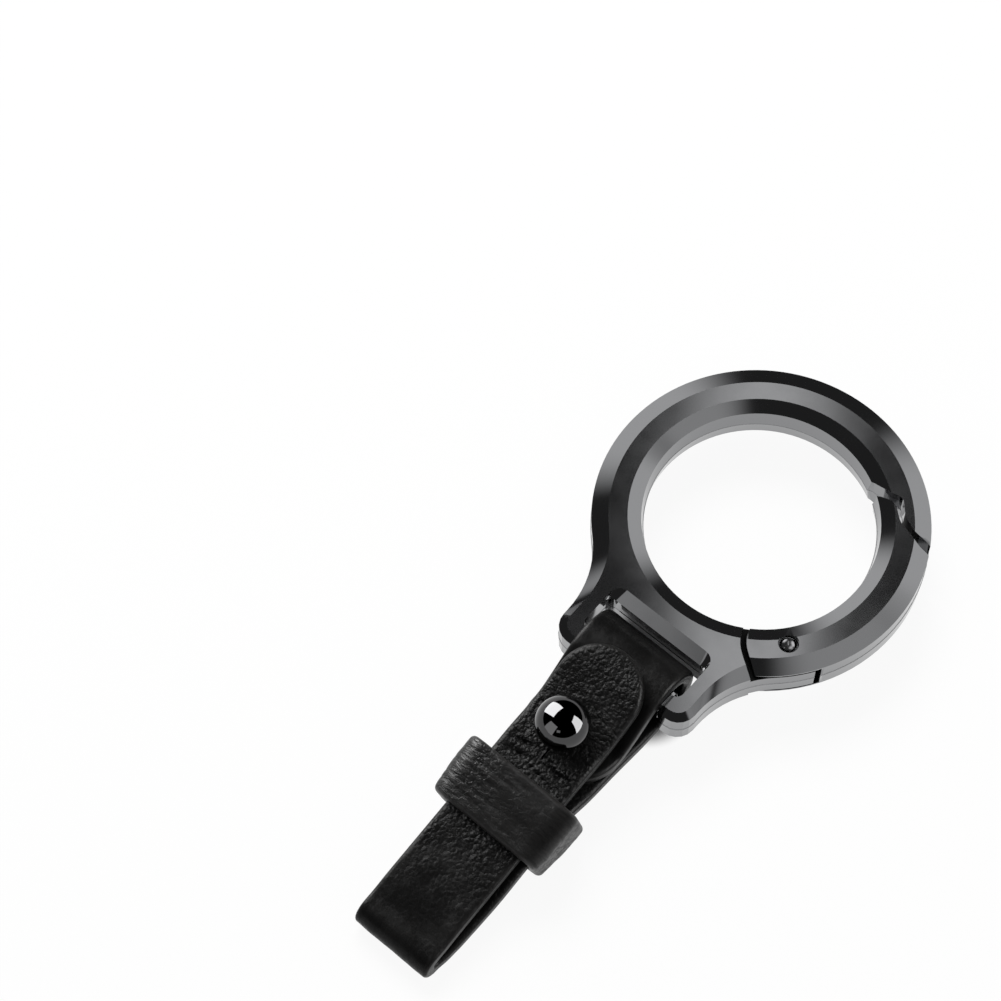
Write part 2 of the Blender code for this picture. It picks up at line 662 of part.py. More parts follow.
def strap_rows():
    """Rows along the strap, with its round ends: distance, height and half width."""
    curve = smooth(route_points(), 3)
    lengths = [0.0]
    for first, second in zip(curve, curve[1:]):
        step = math.hypot(second.x - first.x, second.y - first.y)
        lengths.append(lengths[-1] + step)
    total = lengths[-1]

    def sample(length):
        """Read the curve at a length from the tongue's tip."""
        for index in range(len(lengths) - 1):
            if lengths[index + 1] >= length:
                span = lengths[index + 1] - lengths[index]
                part = (length - lengths[index]) / max(span, MERGE)
                return curve[index].lerp(curve[index + 1], part)
        return curve[-1]

    rows = []
    tip, end = STRAP_LOOP_HALF_WIDTH, STRAP_BAR_HALF_WIDTH
    angles = [math.pi / 2 * (step + 0.4) / (CAP_STEPS + 0.4) for step in range(CAP_STEPS)]
    for angle in angles:
        row = sample(tip * (1 - math.cos(angle)))
        rows.append((row, tip * math.sin(angle)))
    for length, point in zip(lengths, curve):
        if tip <= length <= total - end:
            rows.append((point, point.z))
    for angle in reversed(angles):
        row = sample(total - end * (1 - math.cos(angle)))
        rows.append((row, end * math.sin(angle)))
    return rows


def make_strap(parts, cutters, bar_axis, material):
    """The leather strip: tongue, loop, back layer, wrap round the bar, and tab."""
    mesh_data = bmesh.new()
    rings = []
    for point, half_width in strap_rows():
        rings.append([mesh_data.verts.new((side * half_width, -point.x, point.y))
                      for side in (-1, 0, 1)])
    for first, second in zip(rings, rings[1:]):
        for index in range(2):
            mesh_data.faces.new((first[index], first[index + 1], second[index + 1],
                                 second[index]))
    strap = object_from_bmesh("strap", mesh_data, parts)
    solidify = strap.modifiers.new("Thickness", "SOLIDIFY")
    solidify.thickness = STRAP_THICKNESS
    solidify.offset = 0
    solidify.use_even_offset = False
    bevel = strap.modifiers.new("Edges", "BEVEL")
    bevel.width = STRAP_EDGE
    bevel.segments = 1
    bevel.limit_method = "ANGLE"
    bevel.angle_limit = math.radians(60)
    for tool in strap_cutters(cutters):
        cut(strap, place(tool, bar_axis))
    strap.data.materials.append(material)
    return place(strap, bar_axis)


def strap_cutters(cutters):
    """Holes for the stud: a keyhole in the tongue, a round one in the tab and the back layer."""
    centre = (0, -STUD_DISTANCE)
    split = (tab_height(STUD_SHARE) + front_height(STUD_SHARE)) / 2
    top = front_height(STUD_SHARE) + 2 * STRAP_THICKNESS
    bottom = back_height(STUD_SHARE) - STRAP_THICKNESS
    slit_end = -STUD_DISTANCE - TONGUE_HOLE_R - SLIT_LENGTH
    half_slit = SLIT_WIDTH / 2
    mouth = math.asin(half_slit / TONGUE_HOLE_R)
    quarter = math.pi / 2
    keyhole = [(-half_slit, slit_end), (half_slit, slit_end)]
    keyhole += arc(centre, TONGUE_HOLE_R, mouth - quarter, 3 * quarter - mouth, SMALL_STEPS)
    hole = prism("cut_keyhole", keyhole, split, top, cutters)
    post = cylinder_cutter("cut_post_hole", POST_HOLE_R, bottom, split, centre, SMALL_STEPS,
                           cutters)
    return [hole, post]


def seat_height(height_at, radius, pick):
    """Highest or lowest height of a layer within a radius of the stud."""
    reach = radius / STRAP_REACH
    return pick(height_at(STUD_SHARE + reach * step / 4) for step in range(-4, 5))


def ball_centre_height():
    """Height of the ball's middle, so that it clears the rim of the tongue's hole."""
    rim_top = seat_height(front_height, TONGUE_HOLE_R, max) + STRAP_THICKNESS / 2
    return rim_top + math.sqrt(BALL_R**2 - TONGUE_HOLE_R**2) + BALL_SEAT_GAP


def make_stud(parts, bar_axis, material):
    """Ball stud: ball, neck, flange on the tab, and post with a bore for the screw."""
    ball_z = ball_centre_height()
    neck_angle = math.pi - math.asin(NECK_R / BALL_R)
    angles = [neck_angle * step / BALL_RISE_STEPS for step in range(BALL_RISE_STEPS + 1)]
    ball = [(BALL_R * math.sin(angle), ball_z + BALL_R * math.cos(angle)) for angle in angles]
    flange_bottom = (seat_height(tab_height, FLANGE_R, max) + STRAP_THICKNESS / 2
                     + STUD_SEAT_GAP)
    flange_top = flange_bottom + FLANGE_THICKNESS
    post_end = back_height(STUD_SHARE) - STRAP_THICKNESS / 2 + STUD_SEAT_GAP
    bore_top = post_end + SCREW_BORE_DEPTH
    profile = ball + [(NECK_R, flange_top), (FLANGE_R, flange_top), (FLANGE_R, flange_bottom),
                      (POST_R, flange_bottom), (POST_R, post_end), (SCREW_BORE_R, post_end),
                      (SCREW_BORE_R, bore_top), (0, bore_top)]
    stud = turned("stud_ball", profile, BALL_STEPS, parts, shade_smooth=True)
    stud.modifiers.new("Shading", "WEIGHTED_NORMAL")
    stud.data.materials.append(material)
    return place(stud, bar_axis, (0, -STUD_DISTANCE, 0))


def make_screw(parts, cutters, bar_axis, material):
    """Screw that clamps the tab and the back layer to the stud, with a slotted domed head."""
    head_top = (seat_height(back_height, SCREW_HEAD_R, min) - STRAP_THICKNESS / 2
                - STUD_SEAT_GAP)
    shank_top = head_top + SCREW_SHANK_LENGTH
    rim = head_top - SCREW_HEAD_HEIGHT / 3
    dome = [(SCREW_HEAD_R * math.cos(step * math.pi / 10),
             rim - SCREW_HEAD_HEIGHT * 2 / 3 * math.sin(step * math.pi / 10))
            for step in range(6)]
    profile = [(0, shank_top), (SCREW_SHANK_R, shank_top), (SCREW_SHANK_R, head_top),
               (SCREW_HEAD_R, head_top)] + dome
    screw = turned("stud_screw", profile, SMALL_STEPS, parts)
    bottom = head_top - SCREW_HEAD_HEIGHT
    half = SCREW_SLOT_WIDTH / 2
    reach = SCREW_HEAD_R + OVERRUN
    slot = prism("cut_screw_slot", [(-reach, -half), (reach, -half), (reach, half), (-reach, half)],
                 bottom - OVERRUN, bottom + SCREW_SLOT_DEPTH, cutters)
    cut(screw, place(slot, bar_axis, (0, -STUD_DISTANCE, 0)))
    screw.data.materials.append(material)
    return place(screw, bar_axis, (0, -STUD_DISTANCE, 0))


def keeper_section(flare):
    """Inner section of the keeper, square to the strap, as (across, height) points.

    The flare runs from 0 at the tight lower mouth to 1 at the open upper one.
    """
    thickness = STRAP_THICKNESS / 2
    share = STRAIGHT_SHARE
    spread = (front_height(share) - back_height(share)) / 2 * math.cos(strap_slope())
    top = spread + thickness + KEEPER_GAP + flare * KEEPER_FLARE
    bottom = -spread - thickness - KEEPER_UNDER_GAP - flare * KEEPER_FLARE
    half = strap_half_width(share) + KEEPER_SIDE_GAP + flare * KEEPER_SIDE_FLARE
    return rounded_rectangle(half, bottom, top, KEEPER_INNER_R, KEEPER_INNER_R)


def make_keeper(parts, keeper_axis, material):
    """Leather keeper: an open tube round both layers, square to the strap."""
    mesh_data = bmesh.new()
    loops = [[mesh_data.verts.new((across, end * KEEPER_WIDTH / 2, height))
              for across, height in keeper_section((1 + end) / 2)] for end in (1, -1)]
    count = len(loops[0])
    for index in range(count):
        following = (index + 1) % count
        mesh_data.faces.new((loops[0][index], loops[0][following], loops[1][following],
                             loops[1][index]))
    keeper = object_from_bmesh("keeper_loop", mesh_data, parts)
    solidify = keeper.modifiers.new("Thickness", "SOLIDIFY")
    solidify.thickness = KEEPER_THICKNESS
    solidify.offset = 1
    bevel = keeper.modifiers.new("Edges", "BEVEL")
    bevel.width = KEEPER_EDGE
    bevel.segments = 1
    bevel.limit_method = "ANGLE"
    bevel.angle_limit = math.radians(60)
    keeper.data.materials.append(material)
    return place(keeper, keeper_axis)


def strap_slope():
    """Angle at which the strap droops where the keeper slides."""
    near, far = STRAIGHT_SHARE, STRAIGHT_END_SHARE
    fall = (back_height(near) + front_height(near) - back_height(far) - front_height(far)) / 2
    return math.atan2(fall, (far - near) * STRAP_REACH)


def keeper_middle():
    """Middle of the keeper in the bar's frame."""
    share = KEEPER_SHARE + KEEPER_WIDTH / STRAP_REACH / 2
    line_height = (front_height(STRAIGHT_SHARE) + back_height(STRAIGHT_SHARE)) / 2
    rise = math.tan(strap_slope()) * (STRAIGHT_SHARE - share) * STRAP_REACH
    return Vector((0, -share * STRAP_REACH, line_height + rise))


def lowest_height():
    """Level of the lowest point below the ring's middle: the underside of the strap's loop."""
    loop = min(back_height(share) for share, _ in BACK_SHARES)
    return loop - STRAP_THICKNESS / 2


def main():
    """Build the keychain."""
    clear_scene()
    parts = new_collection("leather_keychain")
    cutters = new_collection("leather_keychain_cutters")
    gunmetal = make_material("gunmetal", (0.09, 0.092, 0.098), 0.22, 1.0)
    steel = make_material("pin_steel", (0.32, 0.32, 0.33), 0.3, 1.0)
    spring_steel = make_material("spring_steel", (0.45, 0.45, 0.46), 0.35, 1.0)
    black_chrome = make_material("black_chrome", (0.08, 0.08, 0.085), 0.08, 1.0)
    leather = make_material("strap_leather", (0.012, 0.012, 0.013), 0.55, 0.0)
    keeper_leather = make_material("keeper_leather", (0.02, 0.02, 0.021), 0.5, 0.0)

    fold_r = (front_height(1.0) - back_height(1.0)) / 2
    loop_end = BAR_CENTRE + STRAP_REACH + fold_r + STRAP_THICKNESS / 2
    ring_y = (loop_end - RING_OUTER_R) / 2
    datum = add_empty("ring_centre", (0, ring_y, -lowest_height()), parts)
    pin_axis = add_empty("gate_hinge_axis", PIN_CENTRE, parts, datum)
    bar_axis = add_empty("strap_swing_axis", (0, -BAR_CENTRE, 0), parts, datum)
    keeper_axis = add_empty("keeper_slide_axis", keeper_middle(), parts, bar_axis)
    keeper_axis.rotation_euler = (strap_slope(), 0, 0)

    make_frame(parts, cutters, datum, gunmetal)
    make_gate(parts, cutters, pin_axis, gunmetal)
    make_pin(parts, pin_axis, steel)
    make_spring(parts, pin_axis, spring_steel)
    make_strap(parts, cutters, bar_axis, leather)
    make_stud(parts, bar_axis, black_chrome)
    make_screw(parts, cutters, bar_axis, black_chrome)
    make_keeper(parts, keeper_axis, keeper_leather)


main()
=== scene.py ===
"""Looks of a black leather keychain: a belt strap buttoned by a ball stud on a gunmetal ring clip.

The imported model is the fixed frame. Every length is in metres, in that frame. The ring lies flat
with its front face up, and the strap leaves its bar towards -Y.
"""

from __future__ import annotations

import logging
import math
from dataclasses import dataclass, field
from enum import Enum
from typing import Any, Sequence

import bmesh
import bpy
from bpy.types import Material, Mesh, Node, NodeSocket, NodeTree, Object
from mathutils import Matrix, Vector, noise
from mathutils.bvhtree import BVHTree


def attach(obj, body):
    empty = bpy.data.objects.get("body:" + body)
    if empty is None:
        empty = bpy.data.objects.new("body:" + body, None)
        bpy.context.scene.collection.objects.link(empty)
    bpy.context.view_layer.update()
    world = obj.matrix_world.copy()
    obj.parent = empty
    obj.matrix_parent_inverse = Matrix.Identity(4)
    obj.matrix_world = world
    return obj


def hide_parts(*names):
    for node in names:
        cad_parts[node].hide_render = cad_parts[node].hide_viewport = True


logging.basicConfig(level=logging.INFO, format="%(message)s")
log = logging.getLogger("keychain")

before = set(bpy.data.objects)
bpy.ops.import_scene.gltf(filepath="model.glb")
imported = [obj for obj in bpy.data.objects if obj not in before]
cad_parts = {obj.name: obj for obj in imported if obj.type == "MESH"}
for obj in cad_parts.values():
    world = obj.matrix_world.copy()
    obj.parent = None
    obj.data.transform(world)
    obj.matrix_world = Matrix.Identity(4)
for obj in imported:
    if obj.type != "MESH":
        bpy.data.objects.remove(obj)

BMesh = bmesh.types.BMesh
Triple = tuple[float, float, float]
Point = tuple[float, float]

BAR_AXIS = Vector((0.0, -0.001715, 0.0065903))
PIN_AXIS = Vector((0.0118, 0.011928, 0.0065903))
KEEPER_MIDDLE = Vector((0.0, -0.021534, 0.0057411))
STRAP_UPHILL = Vector((0.0, 0.978405, 0.206698))
MERGE = 0.000002
FULL_CREASE = 0.0001
QUARTER_TURN = math.pi / 2
IN_MILLIMETRES = (1000.0, 1000.0, 1000.0)
LEATHER_MAPS = ("strip", "masks", "grain")


class Body(Enum):
    """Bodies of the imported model."""

    FRAME = "frame"
    GATE = "gate"
    STRAP = "strap"
    KEEPER = "keeper"


class Slot(Enum):
    """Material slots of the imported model."""

    GUNMETAL = "gunmetal"
    PIN_STEEL = "pin_steel"
    SPRING_STEEL = "spring_steel"
    BLACK_CHROME = "black_chrome"
    STRAP_LEATHER = "strap_leather"
    KEEPER_LEATHER = "keeper_leather"


# Mesh helpers


def bmesh_of(mesh: Mesh, merge: float = 0.0) -> BMesh:
    """Copy a mesh for work on it.

    Args:
        mesh: the mesh, which stays as it is.
        merge: distance within which points become one, or 0 for none.

    Returns:
        The copy.
    """
    data = bmesh.new()
    data.from_mesh(mesh)
    if merge:
        bmesh.ops.remove_doubles(data, verts=data.verts, dist=merge)
    return data


def mesh_from(name: str, data: BMesh, *finishes: Material,
              sharp_angle: float | None = None) -> Mesh:
    """Turn a bmesh into a smooth-shaded mesh, and free it.

    Args:
        name: name of the mesh.
        data: the bmesh.
        finishes: its materials.
        sharp_angle: fold in radians from which an edge is shaded sharp, or None for no such edge.

    Returns:
        The new mesh.
    """
    for face in data.faces:
        face.smooth = True
    if sharp_angle is not None:
        for edge in data.edges:
            edge.smooth = edge.is_manifold and edge.calc_face_angle() < sharp_angle
    mesh = bpy.data.meshes.new(name)
    data.to_mesh(mesh)
    data.free()
    for finish in finishes:
        mesh.materials.append(finish)
    return mesh


def add_object(name: str, data: bpy.types.ID) -> Object:
    """Link a mesh, lamp or camera to the scene as an object at the origin.

    Args:
        name: name of the object.
        data: its data. A mesh has its place in it.

    Returns:
        The new object.
    """
    obj = bpy.data.objects.new(name, data)
    bpy.context.scene.collection.objects.link(obj)
    return obj


def baked(obj: Object) -> Object:
    """Apply an object's modifiers to its mesh and remove them.

    Args:
        obj: the object with live modifiers.

    Returns:
        The same object, with a plain mesh.
    """
    bpy.context.view_layer.update()
    evaluated = obj.evaluated_get(bpy.context.evaluated_depsgraph_get())
    mesh = bpy.data.meshes.new_from_object(evaluated)
    mesh.name = obj.name
    obj.modifiers.clear()
    obj.data = mesh
    return obj


def publish(piece: Object, body: Body, slot: Slot, *nodes: str) -> Object:
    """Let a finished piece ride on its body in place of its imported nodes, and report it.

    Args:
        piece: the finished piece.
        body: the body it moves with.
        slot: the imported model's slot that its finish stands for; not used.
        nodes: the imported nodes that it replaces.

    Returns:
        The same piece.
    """
    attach(piece, body.value)
    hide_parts(*nodes)
    piece.data.calc_loop_triangles()
    log.info("%s: %d triangles, on %s", piece.name, len(piece.data.loop_triangles), body.value)
    return piece


def arc(radius: float, first: float, last: float, steps: int) -> list[Point]:
    """Trace an arc round the origin.

    Args:
        radius: its radius.
        first: angle of its first point, in radians.
        last: angle of its last point.
        steps: stretches between its points.

    Returns:
        Its points, one more than the steps.
    """
    angles = [first + (last - first) * step / steps for step in range(steps + 1)]
    return [(radius * math.cos(angle), radius * math.sin(angle)) for angle in angles]


def smooth_path(points: Sequence[Vector], steps: int) -> list[Vector]:
    """Run a Catmull-Rom curve through points of any dimension.

    Args:
        points: the points it passes through.
        steps: new points for each stretch.

    Returns:
        The points of the curve.
    """
    result: list[Vector] = []
    padded = [2 * points[0] - points[1], *points, 2 * points[-1] - points[-2]]
    for index in range(1, len(padded) - 2):
        before, first, second, after = padded[index - 1:index + 3]
        for step in range(steps):
            t = step / steps
            tangent_in = (second - before) / 2
            tangent_out = (after - first) / 2
            result.append((2 * t**3 - 3 * t**2 + 1) * first + (t**3 - 2 * t**2 + t) * tangent_in
                          + (3 * t**2 - 2 * t**3) * second + (t**3 - t**2) * tangent_out)
    result.append(points[-1])
    return result


def read_table(table: Sequence[Point], share: float) -> float:
    """Read a table of (share, value) rows on its smooth curve.

    Args:
        table: the rows, in order.
        share: where it is read.

    Returns:
        The value there.
    """
    curve = smooth_path([Vector(row) for row in table], 12)
    for first, second in zip(curve, curve[1:]):
        if first.x <= share <= second.x:
            span = max(second.x - first.x, 1e-9)
            return first.y + (second.y - first.y) * (share - first.x) / span
    return curve[-1].y


def window(value: float, low: float, high: float, edge: float) -> float:
    """Rise from 0 to 1 within an edge above low, and fall back within an edge below high."""
    return min(1.0, max(0.0, (value - low) / edge)) * min(1.0, max(0.0, (high - value) / edge))


def bridge(data: BMesh, first: Sequence[Any], second: Sequence[Any]) -> list[Any]:
    """Join two closed rings of vertices, with triangles where a ring is one repeated vertex.

    Args:
        data: the bmesh that holds them.
        first: vertices of one ring.
        second: as many vertices of the next ring.

    Returns:
        The new faces.
    """
    quads = zip(first, [*first[1:], first[0]], [*second[1:], second[0]], second)
    return [data.faces.new(list(dict.fromkeys(quad))) for quad in quads]


# Shader helpers


@dataclass
class Graph:
    """A node tree under construction."""

    tree: NodeTree

    def fill(self, node: Node | str, inputs: dict[Any, Any]) -> Node:
        """Set the inputs of a node, or link sockets to them.

        Args:
            node: the node, or its name.
            inputs: value or socket for each input, by the input's name or place.

        Returns:
            The node.
        """
        node = self.tree.nodes[node] if isinstance(node, str) else node
        for key, value in inputs.items():
            socket = node.inputs[key]
            if isinstance(value, NodeSocket):
                self.tree.links.new(value, socket)
            else:
                socket.default_value = (*value, 1.0) if socket.type == "RGBA" else value
        return node

    def add(self, kind: str, inputs: dict[Any, Any] | None = None, **settings: Any) -> Node:
        """Add a node.

        Args:
            kind: the node's type.
            inputs: its inputs, as for fill.
            settings: its properties, by name.

        Returns:
            The node.
        """
        node = self.tree.nodes.new(kind)
        node.location = (220 * len(self.tree.nodes), 0)
        for key, value in settings.items():
            setattr(node, key, value)
        return self.fill(node, inputs or {})

    def math(self, operation: str, *values: Any, clamp: bool = False) -> NodeSocket:
        """Add a Math node of numbers or sockets, and give its output."""
        return self.add("ShaderNodeMath", dict(enumerate(values)), operation=operation,
                        use_clamp=clamp).outputs[0]

    def vector(self, operation: str, *values: Any) -> NodeSocket:
        """Add a Vector Math node of tuples or sockets, and give its output."""
        node = self.add("ShaderNodeVectorMath", dict(enumerate(values)), operation=operation)
        return node.outputs["Value" if operation in ("DOT_PRODUCT", "LENGTH") else "Vector"]

    def scaled(self, vector: NodeSocket, factors: Triple) -> NodeSocket:
        """Stretch a vector by a factor for each axis, in a Mapping node."""
        return self.add("ShaderNodeMapping", {"Scale": factors, "Vector": vector}).outputs[0]

    def remap(self, value: NodeSocket, low: Any, high: Any, first: float = 0.0,
              second: float = 1.0) -> NodeSocket:
        """Map a range of values smoothly to another, clamped.

        Args:
            value: the socket to map.
            low: value that gives first.
            high: value that gives second.
            first: one end of the result.
            second: the other end.

        Returns:
            The mapped value.
        """
        return self.add("ShaderNodeMapRange",
                        {"Value": value, "From Min": low, "From Max": high, "To Min": first,
                         "To Max": second},
                        interpolation_type="SMOOTHSTEP", clamp=True).outputs["Result"]

    def noise(self, vector: NodeSocket, scale: Any, detail: float = 2.0, roughness: float = 0.5,
              output: str = "Fac") -> NodeSocket:
        """Add a Noise Texture.

        Args:
            vector: where it is read.
            scale: its scale, in features for each unit of the vector.
            detail: its octaves.
            roughness: how strong the fine octaves are.
            output: the output that is read.

        Returns:
            Its value from 0 to 1, or its colour.
        """
        return self.add("ShaderNodeTexNoise",
                        {"Vector": vector, "Scale": scale, "Detail": detail,
                         "Roughness": roughness}, noise_dimensions="3D").outputs[output]

    def blend(self, factor: NodeSocket, first: Any, second: Any) -> NodeSocket:
        """Mix two colours or sockets, where the factor is the share of the second."""
        return self.add("ShaderNodeMix", {0: factor, 6: first, 7: second},
                        data_type="RGBA").outputs[2]

    def bump(self, height: NodeSocket, distance: float, strength: float = 1.0) -> NodeSocket:
        """Bump the surface's normal by a relief from 0 to 1, which is distance deep."""
        return self.add("ShaderNodeBump", {"Height": height, "Distance": distance,
                                           "Strength": strength}).outputs["Normal"]

    def background_rays(self) -> NodeSocket:
        """Pick out the rays that show the background: camera, glossy and transmission rays.

        Returns:
            1 for such a ray, 0 for any other.
        """
        path = self.add("ShaderNodeLightPath").outputs
        seen = self.math("ADD", path["Is Camera Ray"], path["Is Glossy Ray"], clamp=True)
        return self.math("ADD", seen, path["Is Transmission Ray"], clamp=True)


def new_material(name: str, principled: bool = True) -> tuple[Material, Graph]:
    """Make a material.

    Args:
        name: its name.
        principled: whether it keeps its Principled BSDF.

    Returns:
        The material and its graph.
    """
    material = bpy.data.materials.new(name)
    material.use_nodes = True
    graph = Graph(material.node_tree)
    if not principled:
        graph.tree.nodes.remove(graph.tree.nodes["Principled BSDF"])
    return material, graph


def new_group(name: str, inputs: dict[str, Any], outputs: Sequence[str]) -> Graph:
    """Make an empty shader node group with named sockets.

    Args:
        name: name of the group.
        inputs: default of each input by name, where a tuple makes a vector input.
        outputs: names of its outputs, which are numbers.

    Returns:
        Its graph.
    """
    graph = Graph(bpy.data.node_groups.new(name, "ShaderNodeTree"))
    for label, default in inputs.items():
        kind = "NodeSocketVector" if isinstance(default, tuple) else "NodeSocketFloat"
        socket = graph.tree.interface.new_socket(label, in_out="INPUT", socket_type=kind)
        socket.default_value = default
    for label in outputs:
        graph.tree.interface.new_socket(label, in_out="OUTPUT", socket_type="NodeSocketFloat")
    return graph


def leather_grain_group() -> NodeTree:
    """Build the grain of pebbled leather: cells with valleys between them, pores and tone.

    Returns:
        The node group.
    """
    graph = new_group("Leather grain",
                      {"Vector": (0, 0, 0), "Pebbles per mm": 1.9, "Pores per mm": 7.0,
                       "Wrinkle": 0.6, "Warp": 0.3}, ("Height", "Valley", "Tone"))
    entry = graph.add("NodeGroupInput").outputs
    vector, pebbles_per_mm = entry["Vector"], entry["Pebbles per mm"]
    shift = graph.vector("SUBTRACT", graph.noise(vector, 1.3, 3.0, output="Color"),
                         (0.5, 0.5, 0.5))
    push = graph.add("ShaderNodeVectorMath", {0: shift, "Scale": entry["Warp"]},
                     operation="SCALE").outputs["Vector"]
    place = graph.vector("ADD", vector, push)
    cells = graph.add("ShaderNodeTexVoronoi", {"Vector": place, "Scale": pebbles_per_mm},
                      voronoi_dimensions="3D", feature="F1")
    low = graph.math("POWER", cells.outputs["Distance"], 2.0)
    depth = graph.remap(graph.noise(vector, 0.3, 3.0), 0.35, 0.65, 0.45, 1.0)
    pebbles = graph.math("MULTIPLY", graph.math("SUBTRACT", 1.0, low), depth)
    folds = graph.noise(place, graph.math("MULTIPLY", pebbles_per_mm, 0.55), 3.0, 0.6)
    sharp = graph.math("ABSOLUTE", graph.math("SUBTRACT", folds, 0.5))
    wrinkle = graph.math("MULTIPLY", graph.remap(sharp, 0.0, 0.09), entry["Wrinkle"])
    pores = graph.math("MULTIPLY", graph.noise(place, entry["Pores per mm"], 3.0, 0.6), 0.05)
    graph.add("NodeGroupOutput", {
        "Height": graph.math("ADD", graph.math("ADD", pebbles, wrinkle), pores),
        "Valley": graph.math("MULTIPLY", graph.remap(low, 0.12, 0.45), depth),
        "Tone": graph.noise(vector, 0.16, 4.0, 0.6)})
    return graph.tree


def metal_wear_group() -> NodeTree:
    """Build the fine wear of plated metal: hairlines, a soft haze and small rubbed spots.

    Returns:
        The node group.
    """
    graph = new_group("Metal wear",
                      {"Vector": (0, 0, 0), "Hairlines per mm": 9.0, "Haze per mm": 0.12},
                      ("Height", "Haze", "Rub"))
    entry = graph.add("NodeGroupInput").outputs
    first, second = (graph.noise(graph.scaled(entry["Vector"], stretch),
                                 entry["Hairlines per mm"], 2.0)
                     for stretch in ((1.0, 0.06, 1.0), (0.07, 1.0, 1.0)))
    spots = graph.noise(entry["Vector"], 1.1, 5.0, 0.7)
    graph.add("NodeGroupOutput", {
        "Height": graph.math("ADD", first, second),
        "Haze": graph.noise(entry["Vector"], entry["Haze per mm"], 4.0, 0.6),
        "Rub": graph.remap(spots, 0.6, 0.78)})
    return graph.tree


def soft_patch_group() -> NodeTree:
    """Build one soft patch of light, seen in a direction, for the card tent.

    Returns:
        The node group.
    """
    graph = new_group("Soft patch", {"Direction": (0, 0, 1), "Axis": (0, 0, 1), "Outer": 0.8,
                                     "Inner": 0.95, "Strength": 1.0}, ("Light",))
    entry = graph.add("NodeGroupInput").outputs
    nearness = graph.vector("DOT_PRODUCT", entry["Direction"], entry["Axis"])
    level = graph.remap(nearness, entry["Outer"], entry["Inner"])
    graph.add("NodeGroupOutput", {"Light": graph.math("MULTIPLY", level, entry["Strength"])})
    return graph.tree


# Finishes


@dataclass(frozen=True)
class MetalFinish:
    """A plated or bare metal finish, with its wear counted in millimetres."""

    name: str
    colour: Triple
    roughness: float
    haze: float = 0.06
    rub: float = 0.15
    hairline_depth: float = 0.0000001
    hairline_strength: float = 0.5
    worn_gain: float = 1.6
    worn_lift: float = 0.02

    def material(self, wear: NodeTree) -> Material:
        """Build the material.

        Args:
            wear: the metal wear group.

        Returns:
            The material.
        """
        material, graph = new_material(self.name)
        place = graph.scaled(graph.add("ShaderNodeTexCoord").outputs["Object"], IN_MILLIMETRES)
        group = graph.add("ShaderNodeGroup", {"Vector": place}, node_tree=wear).outputs
        worn = tuple(min(1.0, channel * self.worn_gain + self.worn_lift)
                     for channel in self.colour)
        rub = graph.math("MULTIPLY", group["Rub"], self.rub)
        graph.fill("Principled BSDF", {
            "Base Color": graph.blend(rub, self.colour, worn),
            "Metallic": 1.0,
            "Roughness": graph.remap(group["Haze"], 0.3, 0.7, self.roughness - self.haze,
                                     self.roughness + self.haze),
            "Normal": graph.bump(group["Height"], self.hairline_depth, self.hairline_strength)})
        return material


@dataclass(frozen=True)
class LeatherFinish:
    """A black leather finish that reads the piece's strip, mask and grain maps.

    The strip map is in metres. The mask map holds rim and crease, the grain map its strength.
    """

    name: str
    colour: Triple
    valley_and_crease_shade_colour: Triple
    rim_colour: Triple
    roughness: float = 0.28
    roughness_spread: float = 0.07
    valley_roughness: float = 0.15
    pebbles_per_mm: float = 2.2
    pores_per_mm: float = 7.0
    wrinkle: float = 0.15
    warp: float = 0.3
    grain_depth: float = 0.00016
    rim_grain: float = 0.25
    stretch: Triple = IN_MILLIMETRES
    specular: float = 0.08
    tone_lift: float = 1.7
    tone_share: float = 0.5
    crease_painted_shade: float = 0.6

    def material(self, grain: NodeTree) -> Material:
        """Build the material.

        Args:
            grain: the leather grain group.

        Returns:
            The material.
        """
        material, graph = new_material(self.name)
        strip, masks, shares = (graph.add("ShaderNodeUVMap", uv_map=name).outputs["UV"]
                                for name in LEATHER_MAPS)
        masks = graph.add("ShaderNodeSeparateXYZ", {0: masks}).outputs
        rim, crease = masks["X"], masks["Y"]
        share = graph.add("ShaderNodeSeparateXYZ", {0: shares}).outputs["X"]
        group = graph.add("ShaderNodeGroup", {
            "Vector": graph.scaled(strip, self.stretch), "Pebbles per mm": self.pebbles_per_mm,
            "Pores per mm": self.pores_per_mm, "Wrinkle": self.wrinkle, "Warp": self.warp,
        }, node_tree=grain).outputs
        body = graph.blend(group["Valley"], self.colour, self.valley_and_crease_shade_colour)
        tone = graph.math("MULTIPLY", graph.remap(group["Tone"], 0.35, 0.7), self.tone_share)
        body = graph.blend(tone, body, tuple(channel * self.tone_lift for channel in self.colour))
        # Pressed creases darken towards the valley colour: painted shade in the creases.
        pressed = graph.math("MULTIPLY", crease, self.crease_painted_shade)
        body = graph.blend(pressed, body, self.valley_and_crease_shade_colour)
        gloss = graph.remap(group["Tone"], 0.3, 0.7, self.roughness - self.roughness_spread,
                            self.roughness + self.roughness_spread)
        flat = graph.math("MULTIPLY", graph.remap(rim, 0.0, 1.0, 1.0, self.rim_grain), share)
        graph.fill("Principled BSDF", {
            "Base Color": graph.blend(rim, body, self.rim_colour),
            "Roughness": graph.math("ADD", gloss, graph.math("MULTIPLY", group["Valley"],
                                                             self.valley_roughness)),
            "Normal": graph.bump(graph.math("MULTIPLY", group["Height"], flat), self.grain_depth),
            "Specular IOR Level": self.specular})
        return material


